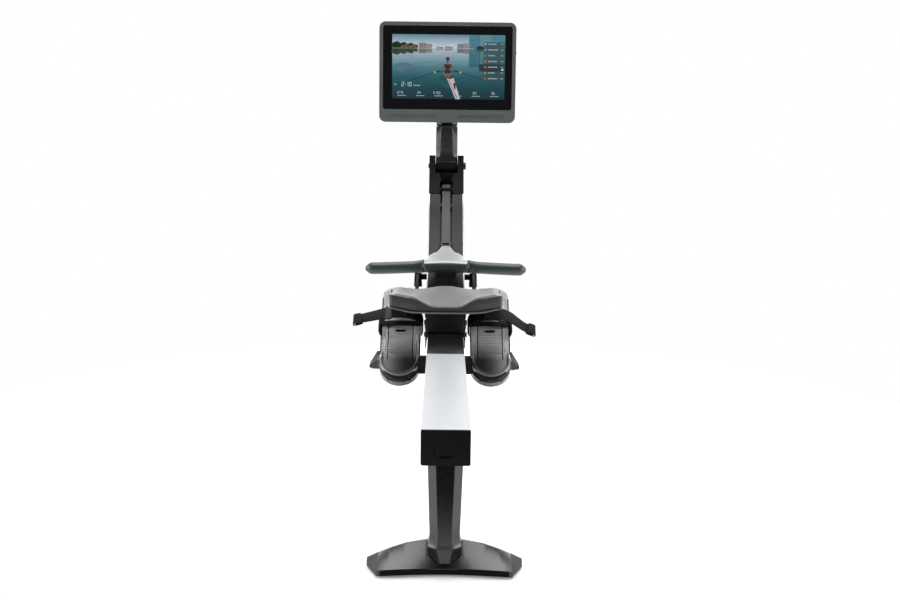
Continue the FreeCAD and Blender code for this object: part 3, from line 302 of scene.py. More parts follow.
def finish(name, wearers, colour, rough, metal=0.0, spread=0.15, blotch=7.0, grain=900.0, depth=0.02,
           stretch=(1, 1, 1), specular=0.5, sheen=0.0):
    """Surface whose colour and roughness wander a little, with a fine grain, for the CAD nodes named.

    spread is the share by which colour varies, blotch and grain are patches and grains per metre,
    and depth is the grain's height in millimetres.
    """
    material, tree, shader = new_material(name)
    fill(shader, {"Metallic": metal, "Specular IOR Level": specular, "Sheen Weight": sheen,
                  "Sheen Roughness": 0.4})
    patches = noise(tree, blotch)
    grains = noise(tree, grain, stretch, 2.0)
    both = add(tree, "Math", {0: patches, 1: grains}, operation="ADD").outputs[0]
    wander = blend_colour(tree, remap(tree, both, 0.7, 1.3, 0, 1), grey(1 - spread, colour),
                          grey(1 + spread, colour))
    tree.links.new(wander, shader["Base Color"])
    shine = remap(tree, both, 0.7, 1.3, rough * 0.88, min(rough * 1.12, 1))
    tree.links.new(shine, shader["Roughness"])
    tree.links.new(bump(tree, grains, depth * mm), shader["Normal"])
    finishes[name] = material
    for wearer in wearers.split():
        nodes[wearer].data.materials.clear()
        nodes[wearer].data.materials.append(material)
    return tree, shader


def finish_painted_shade(name, wearers, lit_tone, dark):
    """Moulded grey plastic with painted shade: darker towards the heel and the rail, where the seat shades
    the board, and darker towards the toe.
    """
    tree, shader = finish(name, wearers, (1, 1, 1), 0.3, spread=0.08, grain=700, depth=0.03)
    plain = shader["Base Color"].links[0].from_socket
    # Painted shade: the tone runs from dark at the heel and beside the rail, where the seat shades the board,
    # to the lit tone on the outer and upper part; the toe end is darker too.
    place = add(tree, "TexCoord")
    parts = add(tree, "SeparateXYZ", {0: place.outputs["Object"]})
    across = add(tree, "Math", {0: parts.outputs["X"]}, operation="ABSOLUTE").outputs[0]
    outer = remap(tree, across, 0.10, 0.165, 0, 0.16)
    upper = remap(tree, parts.outputs["Z"], 0.18, 0.225, 0, 1)
    share = add(tree, "Math", {0: outer, 1: upper}, operation="ADD", use_clamp=True)
    toe = remap(tree, parts.outputs["Z"], 0.275, 0.30, 1, 0.45)
    amount = add(tree, "Math", {0: share.outputs[0], 1: toe}, operation="MULTIPLY")
    tone = blend_colour(tree, amount.outputs[0], grey(dark), grey(lit_tone))
    tree.links.new(blend_colour(tree, 1.0, plain, tone, blend_type="MULTIPLY"), shader["Base Color"])


def finish_picture(name):
    """Lit screen: the shapes' own colours, with a faint ripple."""
    finishes[name], tree, shader = new_material(name)
    tint = add(tree, "VertexColor", layer_name="tint").outputs["Color"]
    ripple = noise(tree, 60, (0.5, 1, 3.0), 3.0)
    darker = blend_colour(tree, 0.12, tint, (0, 0.02, 0.03, 1))
    shown = blend_colour(tree, remap(tree, ripple, 0.35, 0.65, 0, 1), darker, tint)
    tree.links.new(shown, shader["Emission Color"])
    fill(shader, {"Emission Strength": 0.66, "Base Color": (0.01, 0.01, 0.012, 1), "Roughness": 0.2})


def make_finishes():
    """Every finish, with the CAD nodes that keep their own shape and wear it."""
    finish("brushed_rail", "rail", (0.43, 0.44, 0.46), 0.38, 0.75, 0.02, 3, 1500, 0.001, (1, 0.02, 1))
    finish("rail_inlay", "rail_top_inlay", (0.006, 0.006, 0.0065), 0.2, spread=0.25, specular=0.4)
    finish("anodised_cover", "side_cover_right side_cover_left", (0.3, 0.295, 0.28), 0.32, 1.0, 0.05, 5, 1400,
           0.004, (1, 0.05, 0.05))
    finish("black_plastic", "rail_end_cap column_back_cover seat_glides power_inlet", (0.010, 0.010, 0.0105),
           0.42, spread=0.25, specular=0.35)
    finish("nose_plastic", "nose_shell_right nose_shell_left", (0.012, 0.0125, 0.013), 0.36, spread=0.2)
    finish("fascia_plastic", "column_fascia", (0.02, 0.02, 0.023), 0.42, spread=0.2, blotch=16, specular=0.16)
    finish("powder_coat", "rear_stand front_stand column_frame brake_magnet recoil_cartridge",
           (0.058, 0.059, 0.06), 0.27, 0.95, 0.12, grain=650, depth=0.01)
    finish("fork_casting", "column_cap", (0.006, 0.006, 0.0065), 0.5, spread=0.2, grain=700, specular=0.06)
    finish("arm_casting", "swivel_bracket tilt_hinge", (0.075, 0.076, 0.077), 0.27, 0.95, 0.12, grain=700,
           depth=0.01)
    finish("foot_rubber", "rail_stops foot_end_caps handle_dock", (0.012, 0.012, 0.012), 0.6, spread=0.25,
           grain=500, specular=0.3)
    finish("bright_steel", "shaft_bearings", (0.45, 0.45, 0.45), 0.25, 1.0, 0.06, 9, 1500, 0.003)
    finish("black_oxide", "frame_fasteners arm_pivot_bolt roller_axles webbing_link", (0.03, 0.03, 0.032),
           0.3, 0.8, 0.15, 9, 900, 0.01)
    finish("turned_iron", "flywheel flywheel_shaft", (0.3, 0.29, 0.28), 0.4, 1.0, 0.1, 9, 1200, 0.01)
    finish("spool_plastic", "webbing_spool drive_pulley", (0.05, 0.05, 0.05), 0.5)
    finish("belt_rubber", "drive_belt", (0.015, 0.015, 0.015), 0.7, grain=1200)
    finish("circuit_board", "control_board display_electronics", (0.01, 0.09, 0.04), 0.4, spread=0.3,
           blotch=60)
    finish("handle_shell", "", (0.33, 0.335, 0.335), 0.4, 0.3, 0.05, 9, 1200, 0.002)
    finish("grip_rubber", "", (0.026, 0.034, 0.036), 0.33, spread=0.12, grain=1400)
    finish("seat_skin", "", (0.024, 0.025, 0.026), 0.5, spread=0.1, grain=1100, depth=0.03, specular=0.7,
           sheen=0.15)
    finish("tray_plastic", "", (0.12, 0.12, 0.12), 0.4, spread=0.1)
    finish("carriage_coat", "seat_carriage", (0.007, 0.007, 0.0075), 0.45, spread=0.2, grain=650,
           specular=0.25)
    finish("matt_black", "lower_crossbar toe_frame fairlead webbing_roller", (0.006, 0.006, 0.006), 0.7,
           spread=0.25, specular=0.08)
    finish("roller_urethane", "seat_rollers_rear seat_rollers_front", (0.03, 0.03, 0.03), 0.45)
    finish("strap_nylon", "", (0.009, 0.009, 0.009), 0.75, spread=0.3, grain=700, depth=0.15, specular=0.2)
    finish("webbing_nylon", "", (0.055, 0.054, 0.058), 0.6, spread=0.2, grain=700, depth=0.1, specular=0.3)
    finish("wheel_rubber", "transport_wheel_right transport_wheel_left", (0.02, 0.02, 0.02), 0.6, spread=0.2)
    finish("display_housing", "display_bezel display_rear_shell", (0.07, 0.08, 0.078), 0.42, spread=0.08)
    finish("speaker_mesh", "speaker_grilles", (0.05, 0.056, 0.055), 0.6, grain=1200, depth=0.2)
    finish("screen_glass", "display_glass", (0.004, 0.004, 0.0045), 0.08, spread=0.1, depth=0.0, specular=0.4)
    finish("button_plastic", "power_button", (0.03, 0.03, 0.03), 0.3)
    # Footbed and heel finishes with painted shade: lit tone, then shaded tone.
    finish_painted_shade("footbed_plastic", "footbed_right footbed_left", 0.62, 0.035)
    finish_painted_shade("heel_plastic", "", 0.50, 0.022)
    finish_picture("lit_picture")


def soften_nodes():
    """Small rounds on the edges of the CAD nodes that show."""
    widths = {
        0.3: "rail_top_inlay", 0.4: "column_fascia", 0.5: "column_back_cover power_button webbing_link",
        0.6: "roller_axles frame_fasteners column_frame", 0.7: "rail_end_cap fairlead",
        0.8: "rail seat_carriage arm_pivot_bolt seat_glides swivel_bracket tilt_hinge",
        0.9: "column_cap side_cover_right side_cover_left",
        1.0: "display_bezel display_rear_shell nose_shell_right nose_shell_left transport_wheel_right "
             "transport_wheel_left",
        1.2: "toe_frame", 1.5: "lower_crossbar front_stand foot_end_caps rear_stand handle_dock rail_stops",
    }
    for width, names in widths.items():
        for name in names.split():
            soften(nodes[name], width, welded=True)


# ---- more mesh helpers ----
def curve_through(points, steps):
    """Smooth line through the points, with steps on each stretch."""
    points = [Vector(p) for p in points]
    ends = [2 * points[0] - points[1]] + points + [2 * points[-1] - points[-2]]
    line = []
    for i in range(1, len(ends) - 2):
        p0, p1, p2, p3 = ends[i - 1:i + 3]
        for step in range(steps):
            t = step / steps
            line.append(0.5 * (2 * p1 + (p2 - p0) * t + (2 * p0 - 5 * p1 + 4 * p2 - p3) * t * t
                               + (3 * p1 - p0 - 3 * p2 + p3) * t ** 3))
    line.append(points[-1])
    return line


def rounded_section(width, thickness, corner, steps=2):
    """Outline of a rounded rectangle, as (across, up) pairs."""
    outline = []
    corner = min(corner, width / 2, thickness / 2)
    for quarter, (sx, sy) in enumerate(((1, 1), (-1, 1), (-1, -1), (1, -1))):
        for step in range(steps + 1):
            angle = pi / 2 * (quarter + step / steps)
            outline.append((sx * (width / 2 - corner) + corner * cos(angle),
                            sy * (thickness / 2 - corner) + corner * sin(angle)))
    return outline


def sweep(name, line, side, section):
    """Closed skin of a section carried along a line; side is the section's first axis."""
    rings = []
    last = len(line) - 1
    for i, point in enumerate(line):
        run = (line[min(i + 1, last)] - line[max(i - 1, 0)]).normalized()
        up = run.cross(side).normalized()
        across = up.cross(run)
        offsets = section(i / last) if callable(section) else section
        rings.append([point + across * a + up * b for a, b in offsets])
    return loft(name, rings, True)


def joined(name, pieces):
    """One piece made of several."""
    with bpy.context.temp_override(active_object=pieces[0], object=pieces[0],
                                   selected_objects=pieces, selected_editable_objects=pieces):
        bpy.ops.object.join()
    pieces[0].name = name
    return pieces[0]


def settled(piece):
    """Applies a piece's modifiers to its mesh."""
    seen = piece.evaluated_get(bpy.context.evaluated_depsgraph_get())
    mesh = bpy.data.meshes.new_from_object(seen)
    piece.modifiers.clear()
    old = piece.data
    piece.data = mesh
    bpy.data.meshes.remove(old)
    return piece


def prism(name, outline, levels, place):
    """Slab with one outline at two levels; place(a, b, level) sets each point."""
    return loft(name, [[place(a, b, level) for a, b in outline] for level in levels])


def circle(count):
    """Cosine and sine of evenly spaced angles."""
    return [(cos(a), sin(a)) for a in (2 * pi * i / count for i in range(count))]


def dress(piece, finish_name, body, slot, *replaced):
    """Gives a piece its finish and body, and hides the CAD nodes it stands for; slot is not used."""
    piece.data.materials.clear()
    piece.data.materials.append(finishes[finish_name])
    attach(piece, body)
    if replaced:
        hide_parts(*replaced)


# ---- seat ----
def seat_top(x, t):
    """Height of the cushion's top in millimetres; t runs from its rear edge to its front edge."""
    x = abs(x)
    rear = 328.5 + 26.5 * ease(x, 28, 90) + 8 * ease(x, 80, 140)
    middle = 335.5 + 6.5 * ease(x, 20, 90) + 10 * ease(x, 84, 140)
    front = 352 - 8 * ease(x, 0, 78) + 6.5 * ease(x, 84, 130)
    lead = 2 * middle - (rear + front) / 2
    return mix(mix(rear, lead, t), mix(lead, front, t), t)


def seat_bottom(x):
    """Height of the cushion's underside and the tray's top."""
    return 313.5 + 1.5 * ease(abs(x), 30, 84) + 10.5 * ease(abs(x), 76, 145)


def seat_plan(u, v, half, rear, front, waist, bend):
    """Place in plan: an oblong with rounded corners and bowed ends, a little narrower in front."""
    x = mix(-half, half, u) * (1 - 0.02 * v - waist * (2 * v - 1) ** 6)
    bow = bend * (2 * u - 1) ** 6
    return x, mix(rear, front, v) + mix(bow, -bow, v)


def make_cushion():
    """Foam pad: a slightly small shape, swollen a little by cloth pressure."""
    def place(u, v, w):
        x, y = seat_plan(u, v, 142.5, -57.5, 172.5, 0.018, 2.5)
        low = seat_bottom(x) + 0.8
        high = seat_top(x, v) - 1.6
        return Vector((x, y, mix(low, high, w))) * mm

    cushion = block("cushion_pad", (58, 46, 7), place)
    remesh = cushion.modifiers.new("even", "REMESH")
    remesh.mode = "VOXEL"
    remesh.voxel_size = 0.004
    settled(cushion)
    swell(cushion, 4.0, 2.6 * mm, seat_bottom(0) * mm)
    relax = cushion.modifiers.new("relax", "SMOOTH")
    relax.factor = 0.5
    relax.iterations = 2
    settled(cushion)
    fine = smooth(cushion).modifiers.new("fine", "SUBSURF")
    fine.levels = 1
    fine.render_levels = 1
    dress(cushion, "seat_skin", "seat", "seat_skin", "seat_cushion")


def swell(piece, pressure, most, floor_height):
    """Blows a closed mesh up with cloth pressure; no point moves further than most."""
    rest = [v.co.copy() for v in piece.data.vertices]
    cloth = piece.modifiers.new("cloth", "CLOTH")
    cloth.settings.use_pressure = True
    cloth.settings.uniform_pressure_force = pressure
    cloth.settings.effector_weights.gravity = 0
    cloth.settings.quality = 5
    cloth.point_cache.frame_start = 1
    cloth.point_cache.frame_end = 20
    for step in range(1, 21):
        scene.frame_set(step)
    settled(piece)
    scene.frame_set(1)
    for vertex, start in zip(piece.data.vertices, rest):
        move = vertex.co - start
        if move.length > most:
            move = move * (most / move.length)
        if start.z < floor_height + 0.016:
            move.z = max(move.z, 0)
        vertex.co = start + move


def make_tray():
    """Moulded lip that carries the pad and shows as a line under it."""
    def place(u, v, w):
        x, y = seat_plan(u, v, 144.5, -61.5, 174.0, 0.02, 3.0)
        high = seat_bottom(x) - 0.2 + 1.2 * (2 * v - 1) ** 8
        return Vector((x, y, high - 3.4 * (1 - w) * (1 - 0.5 * (2 * u - 1) ** 8))) * mm

    tray = smooth(block("cushion_tray", (48, 30, 2), place))
    soften(tray, 1.2, 3, 40)
    dress(tray, "tray_plastic", "seat", "tray_plastic", "seat_tray")


# ---- handle ----
seam_x = 62.0
bar_half = 225.0
bar_sweep = 13.0
bar_rise = 2.8


def handle_point(x, a, n):
    """From the handle's own axes, in millimetres, to the frame: a runs from the pin to the bar."""
    return pin_place + Vector((x, 0, 0)) * mm + handle_down * (a * mm) + handle_up * (n * mm)


def neck_edge(x):
    """How far from the pin the neck's outline lies at a place across it."""
    x = abs(x)
    return mix(2.0, 41.0, ease(x, 8.0, 27.0)) + 34 * ease(x, 20, 62) ** 0.8 + 17 * ease(x, 40, 62)


def flare(x):
    """How far the bar reaches towards the pin beyond its round section."""
    return 34.0 * min(max((98 - abs(x)) / 36, 0.0), 1.0) ** 1.5


def bar_ring(x, shrink=1.0):
    """Section of the bar: round, with a soft wing towards the pin near the neck."""
    sweep_back = bar_sweep * ease(abs(x), seam_x, bar_half) ** 0.8
    rise = bar_rise + 1.4 * (1 - ease(abs(x), 0, 90))
    swell_up = 0.3 * flare(x) / 34 if abs(x) > seam_x else 0
    ring = []
    for c, s in circle(28):
        wing = max(-c, 0) ** 1.5 * flare(x)
        tall = bar_radius * (1 + swell_up * max(s, 0))
        ring.append(handle_point(x, neck_length + sweep_back + (bar_radius + wing) * shrink * c,
                                 rise + tall * shrink * s * (1 - 0.012 * wing)))
    return ring


def make_grip_piece(side):
    """Soft sleeve with a rounded, slightly pointed end."""
    rings = [bar_ring(side * mix(seam_x + 0.4, bar_half - 20, step / 24)) for step in range(25)]
    for short, shrink in ((16, 0.985), (12, 0.9), (8, 0.75), (4, 0.55), (1, 0.36), (0, 0.18)):
        rings.append(bar_ring(side * (bar_half - short), shrink))
    grip = loft("grip_sleeve_right" if side > 0 else "grip_sleeve_left", rings, True)
    dress(grip, "grip_rubber", "handle", "grip_rubber", "handle_grips")


def make_handle():
    """Pale neck plate over a dark bar, with two cheeks that hold the pin."""
    rings = [bar_ring(mix(-seam_x, seam_x, step / 16), 0.97) for step in range(17)]
    core = loft("handle_bar_core", rings, True)
    dress(core, "grip_rubber", "handle", "handle_shell", "handle_core")
    over_bar = bar_radius + 0.4
    rings = []
    for step in range(65):
        x = mix(-seam_x + 0.3, seam_x - 0.3, step / 64)
        edge = neck_edge(x)
        wrap = mix(0.5, 0.68, ease(abs(x), 10, seam_x))
        lift = bar_rise + 1.4 * (1 - ease(abs(x), 0, 90))
        ring = [(edge + 2.0, -5.0), (edge, 1.0), (edge + 1.2, 5.4), (edge + 4.0, 7.6)]
        for i in range(15):
            a = mix(edge + 8, neck_length - 3, i / 14)
            crown = 1.2 * (1 - (x / seam_x) ** 2) * ease(a, 20, 90)
            crown *= 1 - ease(a, 100, neck_length)
            ring.append((a, 8.3 + (over_bar + lift - 8.3) * ease(a, 78, neck_length + 2) + crown))
        for angle in (pi / 2 - wrap * i / 6 for i in range(7)):
            ring.append((neck_length + over_bar * cos(angle), lift + over_bar * sin(angle)))
        ring += [(neck_length + 9, 6), (neck_length - 8, -8), (max(edge + 6, 60), -6)]
        rings.append([handle_point(x, a, n) for a, n in ring])
    plate = loft("handle_neck", rings, True)
    dress(plate, "handle_shell", "handle", "handle_shell")
    cheeks = []
    for side in (-1, 1):
        rings = []
        for step in range(13):
            a = mix(-7, 44, step / 12)
            inner = 14.8 + 11.5 * ease(a, 6, 46)
            outer = inner + mix(6.5, 4.5, step / 12)
            rings.append([handle_point(side * x, a, n) for x, n in (
                (inner, -7), (outer, -7), (outer, 4.5), (outer - 1.5, 6.2), (inner + 1, 6.2), (inner, 5))])
        cheeks.append(loft("handle_cheek", rings))
    cheek = joined("handle_cheeks", cheeks)
    soften(cheek, 0.8)
    dress(cheek, "fork_casting", "handle", "handle_shell")
    for side in (-1, 1):
        make_grip_piece(side)


# ---- webbing ----
def make_webbing():
    """Pull strap: straight from the link to the guide roller, over it and down to the spool."""
    width, thickness = 25.0, 2.2
    roller_low, roller_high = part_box("webbing_roller")
    roller = (roller_low + roller_high) / 2
    roller_radius, gap = 14.0, 0.3
    reach = roller_radius + gap + thickness / 2
    away = roller - pin_place
    lean = asin(reach * mm / away.length)
    heading = atan2(away.z, away.y) + lean
    chord = Vector((0, cos(heading), sin(heading)))
    over = Vector((0, -chord.z, chord.y))
    start = pin_place + chord * (27 * mm)
    touch = roller + over * (reach * mm)
    first = atan2(over.z, over.y)
    last = -radians(32)
    outside = [start.lerp(touch, i / 40) for i in range(41)]
    line = []
    for i in range(17):
        angle = mix(first, last, i / 16)
        line.append(roller + Vector((0, cos(angle), sin(angle))) * (reach * mm))
    low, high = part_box("webbing")
    leave = line[-1]
    down = Vector((0, sin(last), -cos(last)))
    run = (Vector((0, high.y, low.z)) - leave).length
    line += [leave + down * (run * 0.96 * i / 12) for i in range(1, 13)]
    section = rounded_section(width * mm, thickness * mm, 0.7 * mm)
    wound = sweep("webbing_inside", line, Vector((1, 0, 0)), section)
    dress(wound, "webbing_nylon", "root", "webbing_fabric", "webbing")
    strap = sweep("pull_webbing", outside, Vector((1, 0, 0)), section)
    strap.data.materials.append(finishes["webbing_nylon"])
    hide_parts("webbing")
    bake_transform(strap)


# ---- rear foot ----
def make_skirt():
    """Matt black strip along the rear foot's near edge."""
    rings = []
    for step in range(25):
        x = mix(-0.1165, 0.1165, step / 24)
        near = cad_low.y + 0.011 * (1 - ease(abs(x), 0, 0.14)) * 1.02
        rings.append([Vector((x, near + y, z)) for y, z in (
            (0.0015, 0.0032), (-0.0004, 0.0036), (-0.0004, 0.0125), (0.0006, 0.0138), (0.0020, 0.0136))])
    skirt = loft("rear_foot_skirt", rings, True)
    dress(skirt, "matt_black", "root", "foot_rubber")


# ---- toe frame ----
def make_toe_block(side, word):
    """Rubber block round the toe frame's post, beside the column."""
    low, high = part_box("toe_frame")
    outer = high.x if side > 0 else -low.x
    near, far = high.y - 0.042, high.y - 0.004
    rings = []
    for rise, inside, outside in ((-0.040, -0.020, 0.003), (-0.012, -0.018, 0.002), (0.002, -0.018, 0.001),
                                  (0.004, -0.016, -0.002)):
        rings.append([Vector((side * (outer + x), y, high.z + rise)) for x, y in (
            (inside, near), (outside, near), (outside, far), (inside, far))])
    rubber = loft("toe_block_" + word, rings)
    soften(rubber, 2.0, 3, 30)
    dress(rubber, "matt_black", "root", "dark_steel")


# ---- footbeds ----
toe_end = 339.0
panel_half = 31.0
panel_end = 268.0
cup_radius = 45.0
cup_centre = heel_start + footbed_half
cup_height = 33.0


def foot_point(side, x, u, n):
    """From a footbed's axes, in millimetres, to the frame: u runs from heel to toe, n towards the shoe."""
    return Vector((side * (footbed_x + x * mm), *(heel_place + bed_along * (u * mm) + bed_up * (n * mm))))


def bed_block(name, side, low, high, corner):
    """Slab in a footbed's axes, with rounded corners seen from above."""
    x, u = (low[0] + high[0]) / 2, (low[1] + high[1]) / 2
    outline = rounded_section(high[0] - low[0], high[1] - low[1], corner, 4)
    return prism(name, outline, (low[2], high[2]), lambda a, b, n: foot_point(side, x + a, u + b, n))


def bed_line(name, side, points, width, height):
    """Low half-round rib along a line of (x, u, n) points on the footbed."""
    rings = []
    last = len(points) - 1
    for i, (x, u, n) in enumerate(points):
        after = points[min(i + 1, last)]
        before = points[max(i - 1, 0)]
        run = Vector((after[0] - before[0], after[1] - before[1])).normalized()
        ring = []
        for a, b in ((-0.5, -0.6), (0.5, -0.6), (0.5, 0.35), (0.25, 0.9), (-0.25, 0.9), (-0.5, 0.35)):
            ring.append(foot_point(side, x - run.y * a * width, u + run.x * a * width, n + b * height))
        rings.append(ring)
    return loft(name, rings, True)


def make_panel(side, word):
    """Panel that slides in the board: ribs across it and a slot near its end."""
    cup_body = "heel_cup_" + word
    panel = bed_block("heel_panel_" + word, side, (-panel_half, 29, -4), (panel_half, panel_end, 0), 2)
    hole = bed_block("hole", side, (-14, 183, -10), (14, 192.5, 10), 4.6)
    opening = panel.modifiers.new("opening", "BOOLEAN")
    opening.operation = "DIFFERENCE"
    opening.object = hole
    settled(panel)
    bpy.data.objects.remove(hole)
    well = bed_block("slot_well_" + word, side, (-14, 183, -3.6), (14, 192.5, -2.4), 4.6)
    dress(well, "matt_black", cup_body, "heel_plastic")
    soften(panel, 0.8, 2, 35)
    dress(panel, "heel_plastic", cup_body, "heel_plastic", cup_body)
    ribs = []
    for row in range(7):
        u = 170 - 9.0 * row
        ribs.append(bed_line("rib", side, [(x, u, 0) for x in (-29.5, -28.5, 0, 28.5, 29.5)], 6.2, 2.0))
    ribs.append(bed_line("rib", side, [(x, panel_end - 6, 0) for x in (-28, 0, 28)], 2.0, 0.9))
    dress(joined("heel_ribs_" + word, ribs), "heel_plastic", cup_body, "heel_plastic")


def make_cup(side, word):
    """Heel cup: rounded floor, wall and a thick rolled rim."""
    cup_body = "heel_cup_" + word
    arc = [pi * (1 + i / 32) for i in range(1, 32)]
    path = [(-cup_radius, cup_centre + 44 * i / 8, i / 8) for i in range(8, -1, -1)]
    path += [(cup_radius * cos(a), cup_centre + cup_radius * sin(a), 0) for a in arc]
    path += [(cup_radius, cup_centre + 44 * i / 8, i / 8) for i in range(9)]
    rings = []
    for x, u, fall in path:
        if abs(u) > cup_centre or fall > 0:
            out = Vector((1 if x > 0 else -1, 0))
        else:
            out = Vector((x, u - cup_centre)).normalized()
        back = max(-out.y, 0)
        tall = mix((cup_height + 3 - 4 * back) * (1 - fall) ** 1.15 + 3.5 * fall, 4.0, fall ** 4)
        share = tall / cup_height
        low = mix(1.5, 20.5, ease(back, 0.35, 0.7))
        profile = (
            (2.0, low), (2.4, mix(low, tall, 0.3)), (4.2, tall - 5 * share), (4.8, tall - 2 * share),
            (3.8, tall), (1.6, tall + 0.8), (-0.8, tall), (-2.2, tall - 3 * share),
            (-2.6, mix(low, tall, 0.35)), (-2.0, low),
        )
        rings.append([foot_point(side, x + out.x * o, u + out.y * o, n) for o, n in profile])
    cup = loft("heel_wall_" + word, rings, True)
    soften(cup, 0.5, 2, 60)
    # Painted shade: a matt black band just inside the back of the cup wall, so the cup's inside shows dark
    # through the opening in the wall.
    inner, outer = cup_radius - 2.6, cup_radius - 0.6
    rings = []
    for a in (pi * mix(1.08, 1.92, i / 24) for i in range(25)):
        rings.append([foot_point(side, radius * cos(a), cup_centre + radius * sin(a), n)
                      for radius, n in ((inner, 2.5), (outer, 2.5), (outer, 24), (inner, 24))])
    shade_band = loft("heel_shade_band_" + word, rings, True)
    outline = [(cup_radius * cos(a), cup_centre + cup_radius * sin(a))
               for a in (pi * (1 + i / 24) for i in range(25))]
    outline += [(cup_radius, cup_centre + 16), (24, cup_centre + 24), (-24, cup_centre + 24),
                (-cup_radius, cup_centre + 16)]
    floor = prism("heel_floor_" + word, outline, (1.5, 3.4), lambda x, u, n: foot_point(side, x, u, n))
    soften(floor, 0.6, 2, 50)
    foot = bed_block("heel_joint_" + word, side, (-28, 36, -0.5), (28, cup_centre + 16, 1.9), 6)
    for piece in (cup, floor, foot):
        dress(piece, "heel_plastic", cup_body, "heel_plastic")
    dress(shade_band, "matt_black", cup_body, "heel_plastic")


def make_edging(side, word):
    """Thin dark seams beside the panel, and a dark trim along the board's long edges."""
    seams = []
    for edge in (-1, 1):
        beside = [(edge * (panel_half + 1.0), u, 0) for u in (80, 180, panel_end)]
        border = [(edge * (footbed_half - 0.6), u, -0.4) for u in (86, 200, 300)]
        seams += [bed_line("seam", side, beside, 2.2, 0.5), bed_line("seam", side, border, 3.4, 1.4)]
    dress(joined("footbed_edging_" + word, seams), "matt_black", "root", "footbed_plastic")


def make_relief(side, word):
    """Flowing lines moulded on the board at both sides of the panel."""
    lines = []
    for edge, phase in ((1, 0.0), (-1, 1.3)):
        for row in range(3):
            points = []
            for i in range(61):
                u = mix(118, toe_end - 16, i / 60)
                x = 35.5 + 5.2 * row
                x += 2.3 * sin(u / 15.0 + phase + 2.0 * row) + 1.1 * sin(u / 6.5 + row)
                points.append((edge * min(max(x, 34.0), 48.0), u, 0))
            lines.append(bed_line("line", side, points, 1.8, 1.3))
    dress(joined("footbed_relief_" + word, lines), "footbed_plastic", "root", "footbed_plastic")


# ---- foot straps ----
strap_u = 198.0
strap_width = 38.0
strap_lean = 7.0


def strap_section(width):
    """Section of the strap's webbing, width in millimetres."""
    return rounded_section(width * mm, 2.4 * mm, 0.9 * mm)


def make_strap(side, word):
    """Webbing round the shoe: arch, pass over the board, and a tail with a folded end."""
    arch_height = 52.0 if side < 0 else 46.0
    across = [(-53.5, -11), (-56.5, 0), (-57.0, 14), (-52.5, 30), (-38, 42), (-14, 49), (14, 50), (38, 43),
              (52.5, 30), (57.0, 14), (56.5, 0), (53.5, -11)]
    points = []
    for x, n in across:
        high = n * arch_height / 50 if n > 0 else n
        points.append(foot_point(side, x, strap_u + strap_lean * max(high, 0) / 50, high))
    along = Vector((0, *bed_along))
    arch = sweep("foot_strap_arch_" + word, curve_through(points, 5), along, strap_section(strap_width))
    dress(arch, "strap_nylon", "root", "strap_fabric", "foot_strap_" + word)
    under = [foot_point(side, x, strap_u + 11, n) for x, n in (
        (-55.5, -4), (-53.5, 1.8), (-40, 3.6), (0, 4.8), (40, 3.6), (53.5, 1.8), (55.5, -4))]
    lower = sweep("foot_strap_pass_" + word, curve_through(under, 5), along, strap_section(17))
    base = foot_point(side, 0, strap_u + strap_lean, 45)
    if side < 0:
        path = ((-18, 9), (8, 8), (28, 5), (60, -3), (100, -12), (117, -16))
    else:
        path = ((-18, 6), (8, 5), (32, 2), (52, -6), (70, -18), (90, -31), (112, -39))
    line = curve_through([base + Vector((side * x, 0, z)) * mm for x, z in path], 6)
    tail = sweep("foot_strap_tail_" + word, line, along,
                 lambda t: strap_section(mix(strap_width, 30.0, ease(t, 0.35, 0.9))))
    end = line[-1]
    out = (line[-1] - line[-4]).normalized()
    up = along.cross(out).normalized()
    if up.z < 0:
        up = -up
    loop_points = [end + out * (a * mm) + up * (b * mm) for a, b in (
        (-16, 3.0), (-4, 4.6), (3.5, 3.4), (5.6, 0), (3.5, -4.2), (-8, -5.4), (-17, -4.0))]
    fold = sweep("foot_strap_fold_" + word, curve_through(loop_points, 5), along,
                 rounded_section(32 * mm, 2.2 * mm, 0.8 * mm))
    bar_line = [end + out * 0.6 * mm + along * s * mm for s in (-17.5, -12, 0, 12, 17.5)]
    rod = sweep("foot_strap_bar_" + word, bar_line, out, rounded_section(3.2 * mm, 3.2 * mm, 1.5 * mm, 3))
    middle = foot_point(side, 31, strap_u + strap_lean, 48.0 * arch_height / 50)
    slope = Vector((side, 0, -0.3)).normalized()
    normal = along.cross(slope).normalized()
    slope = normal.cross(along)
    outline = rounded_section(44 * mm, 17 * mm, 3 * mm)
    buckle = prism("foot_strap_buckle_" + word, outline, (-2.5 * mm, 2.5 * mm),
                   lambda a, b, n: middle + along * a + slope * b + normal * n)
    soften(buckle, 1.2, 2, 40)
    for piece in (lower, tail, fold):
        dress(piece, "strap_nylon", "root", "strap_fabric")
    dress(rod, "bright_steel", "root", "strap_fabric")
    dress(buckle, "black_plastic", "root", "strap_fabric")


# ---- display ----
picture_width = 354.0
picture_height = 199.0
picture_ratio = picture_height / picture_width


shapes = []


def shape(outline, colour, level):
    """Adds a polygon to the picture, u to the right and v up, both from 0 to 1.

    colour is one colour, or one for each point; a higher level lies over a lower one.
    """
    tones = colour if isinstance(colour, list) else [colour] * len(outline)
    shapes.append((outline, tones, level))


def bands(u0, u1, heights, colours, level):
    """Adds bands with colours that run into one another from row to row."""
    for i in range(len(heights) - 1):
        shape([(u0, heights[i]), (u1, heights[i]), (u1, heights[i + 1]), (u0, heights[i + 1])],
              [colours[i], colours[i], colours[i + 1], colours[i + 1]], level)


def bar(u0, v0, u1, v1, colour, level):
    shape([(u0, v0), (u1, v0), (u1, v1), (u0, v1)], colour, level)


def disc(u, v, radius, colour, level, count=14, squash=1.0):
    """Adds a round shape; its radius is a share of the picture's height."""
    outline = [(u + radius * c * picture_ratio, v + radius * squash * s) for c, s in circle(count)]
    shape(outline, colour, level)


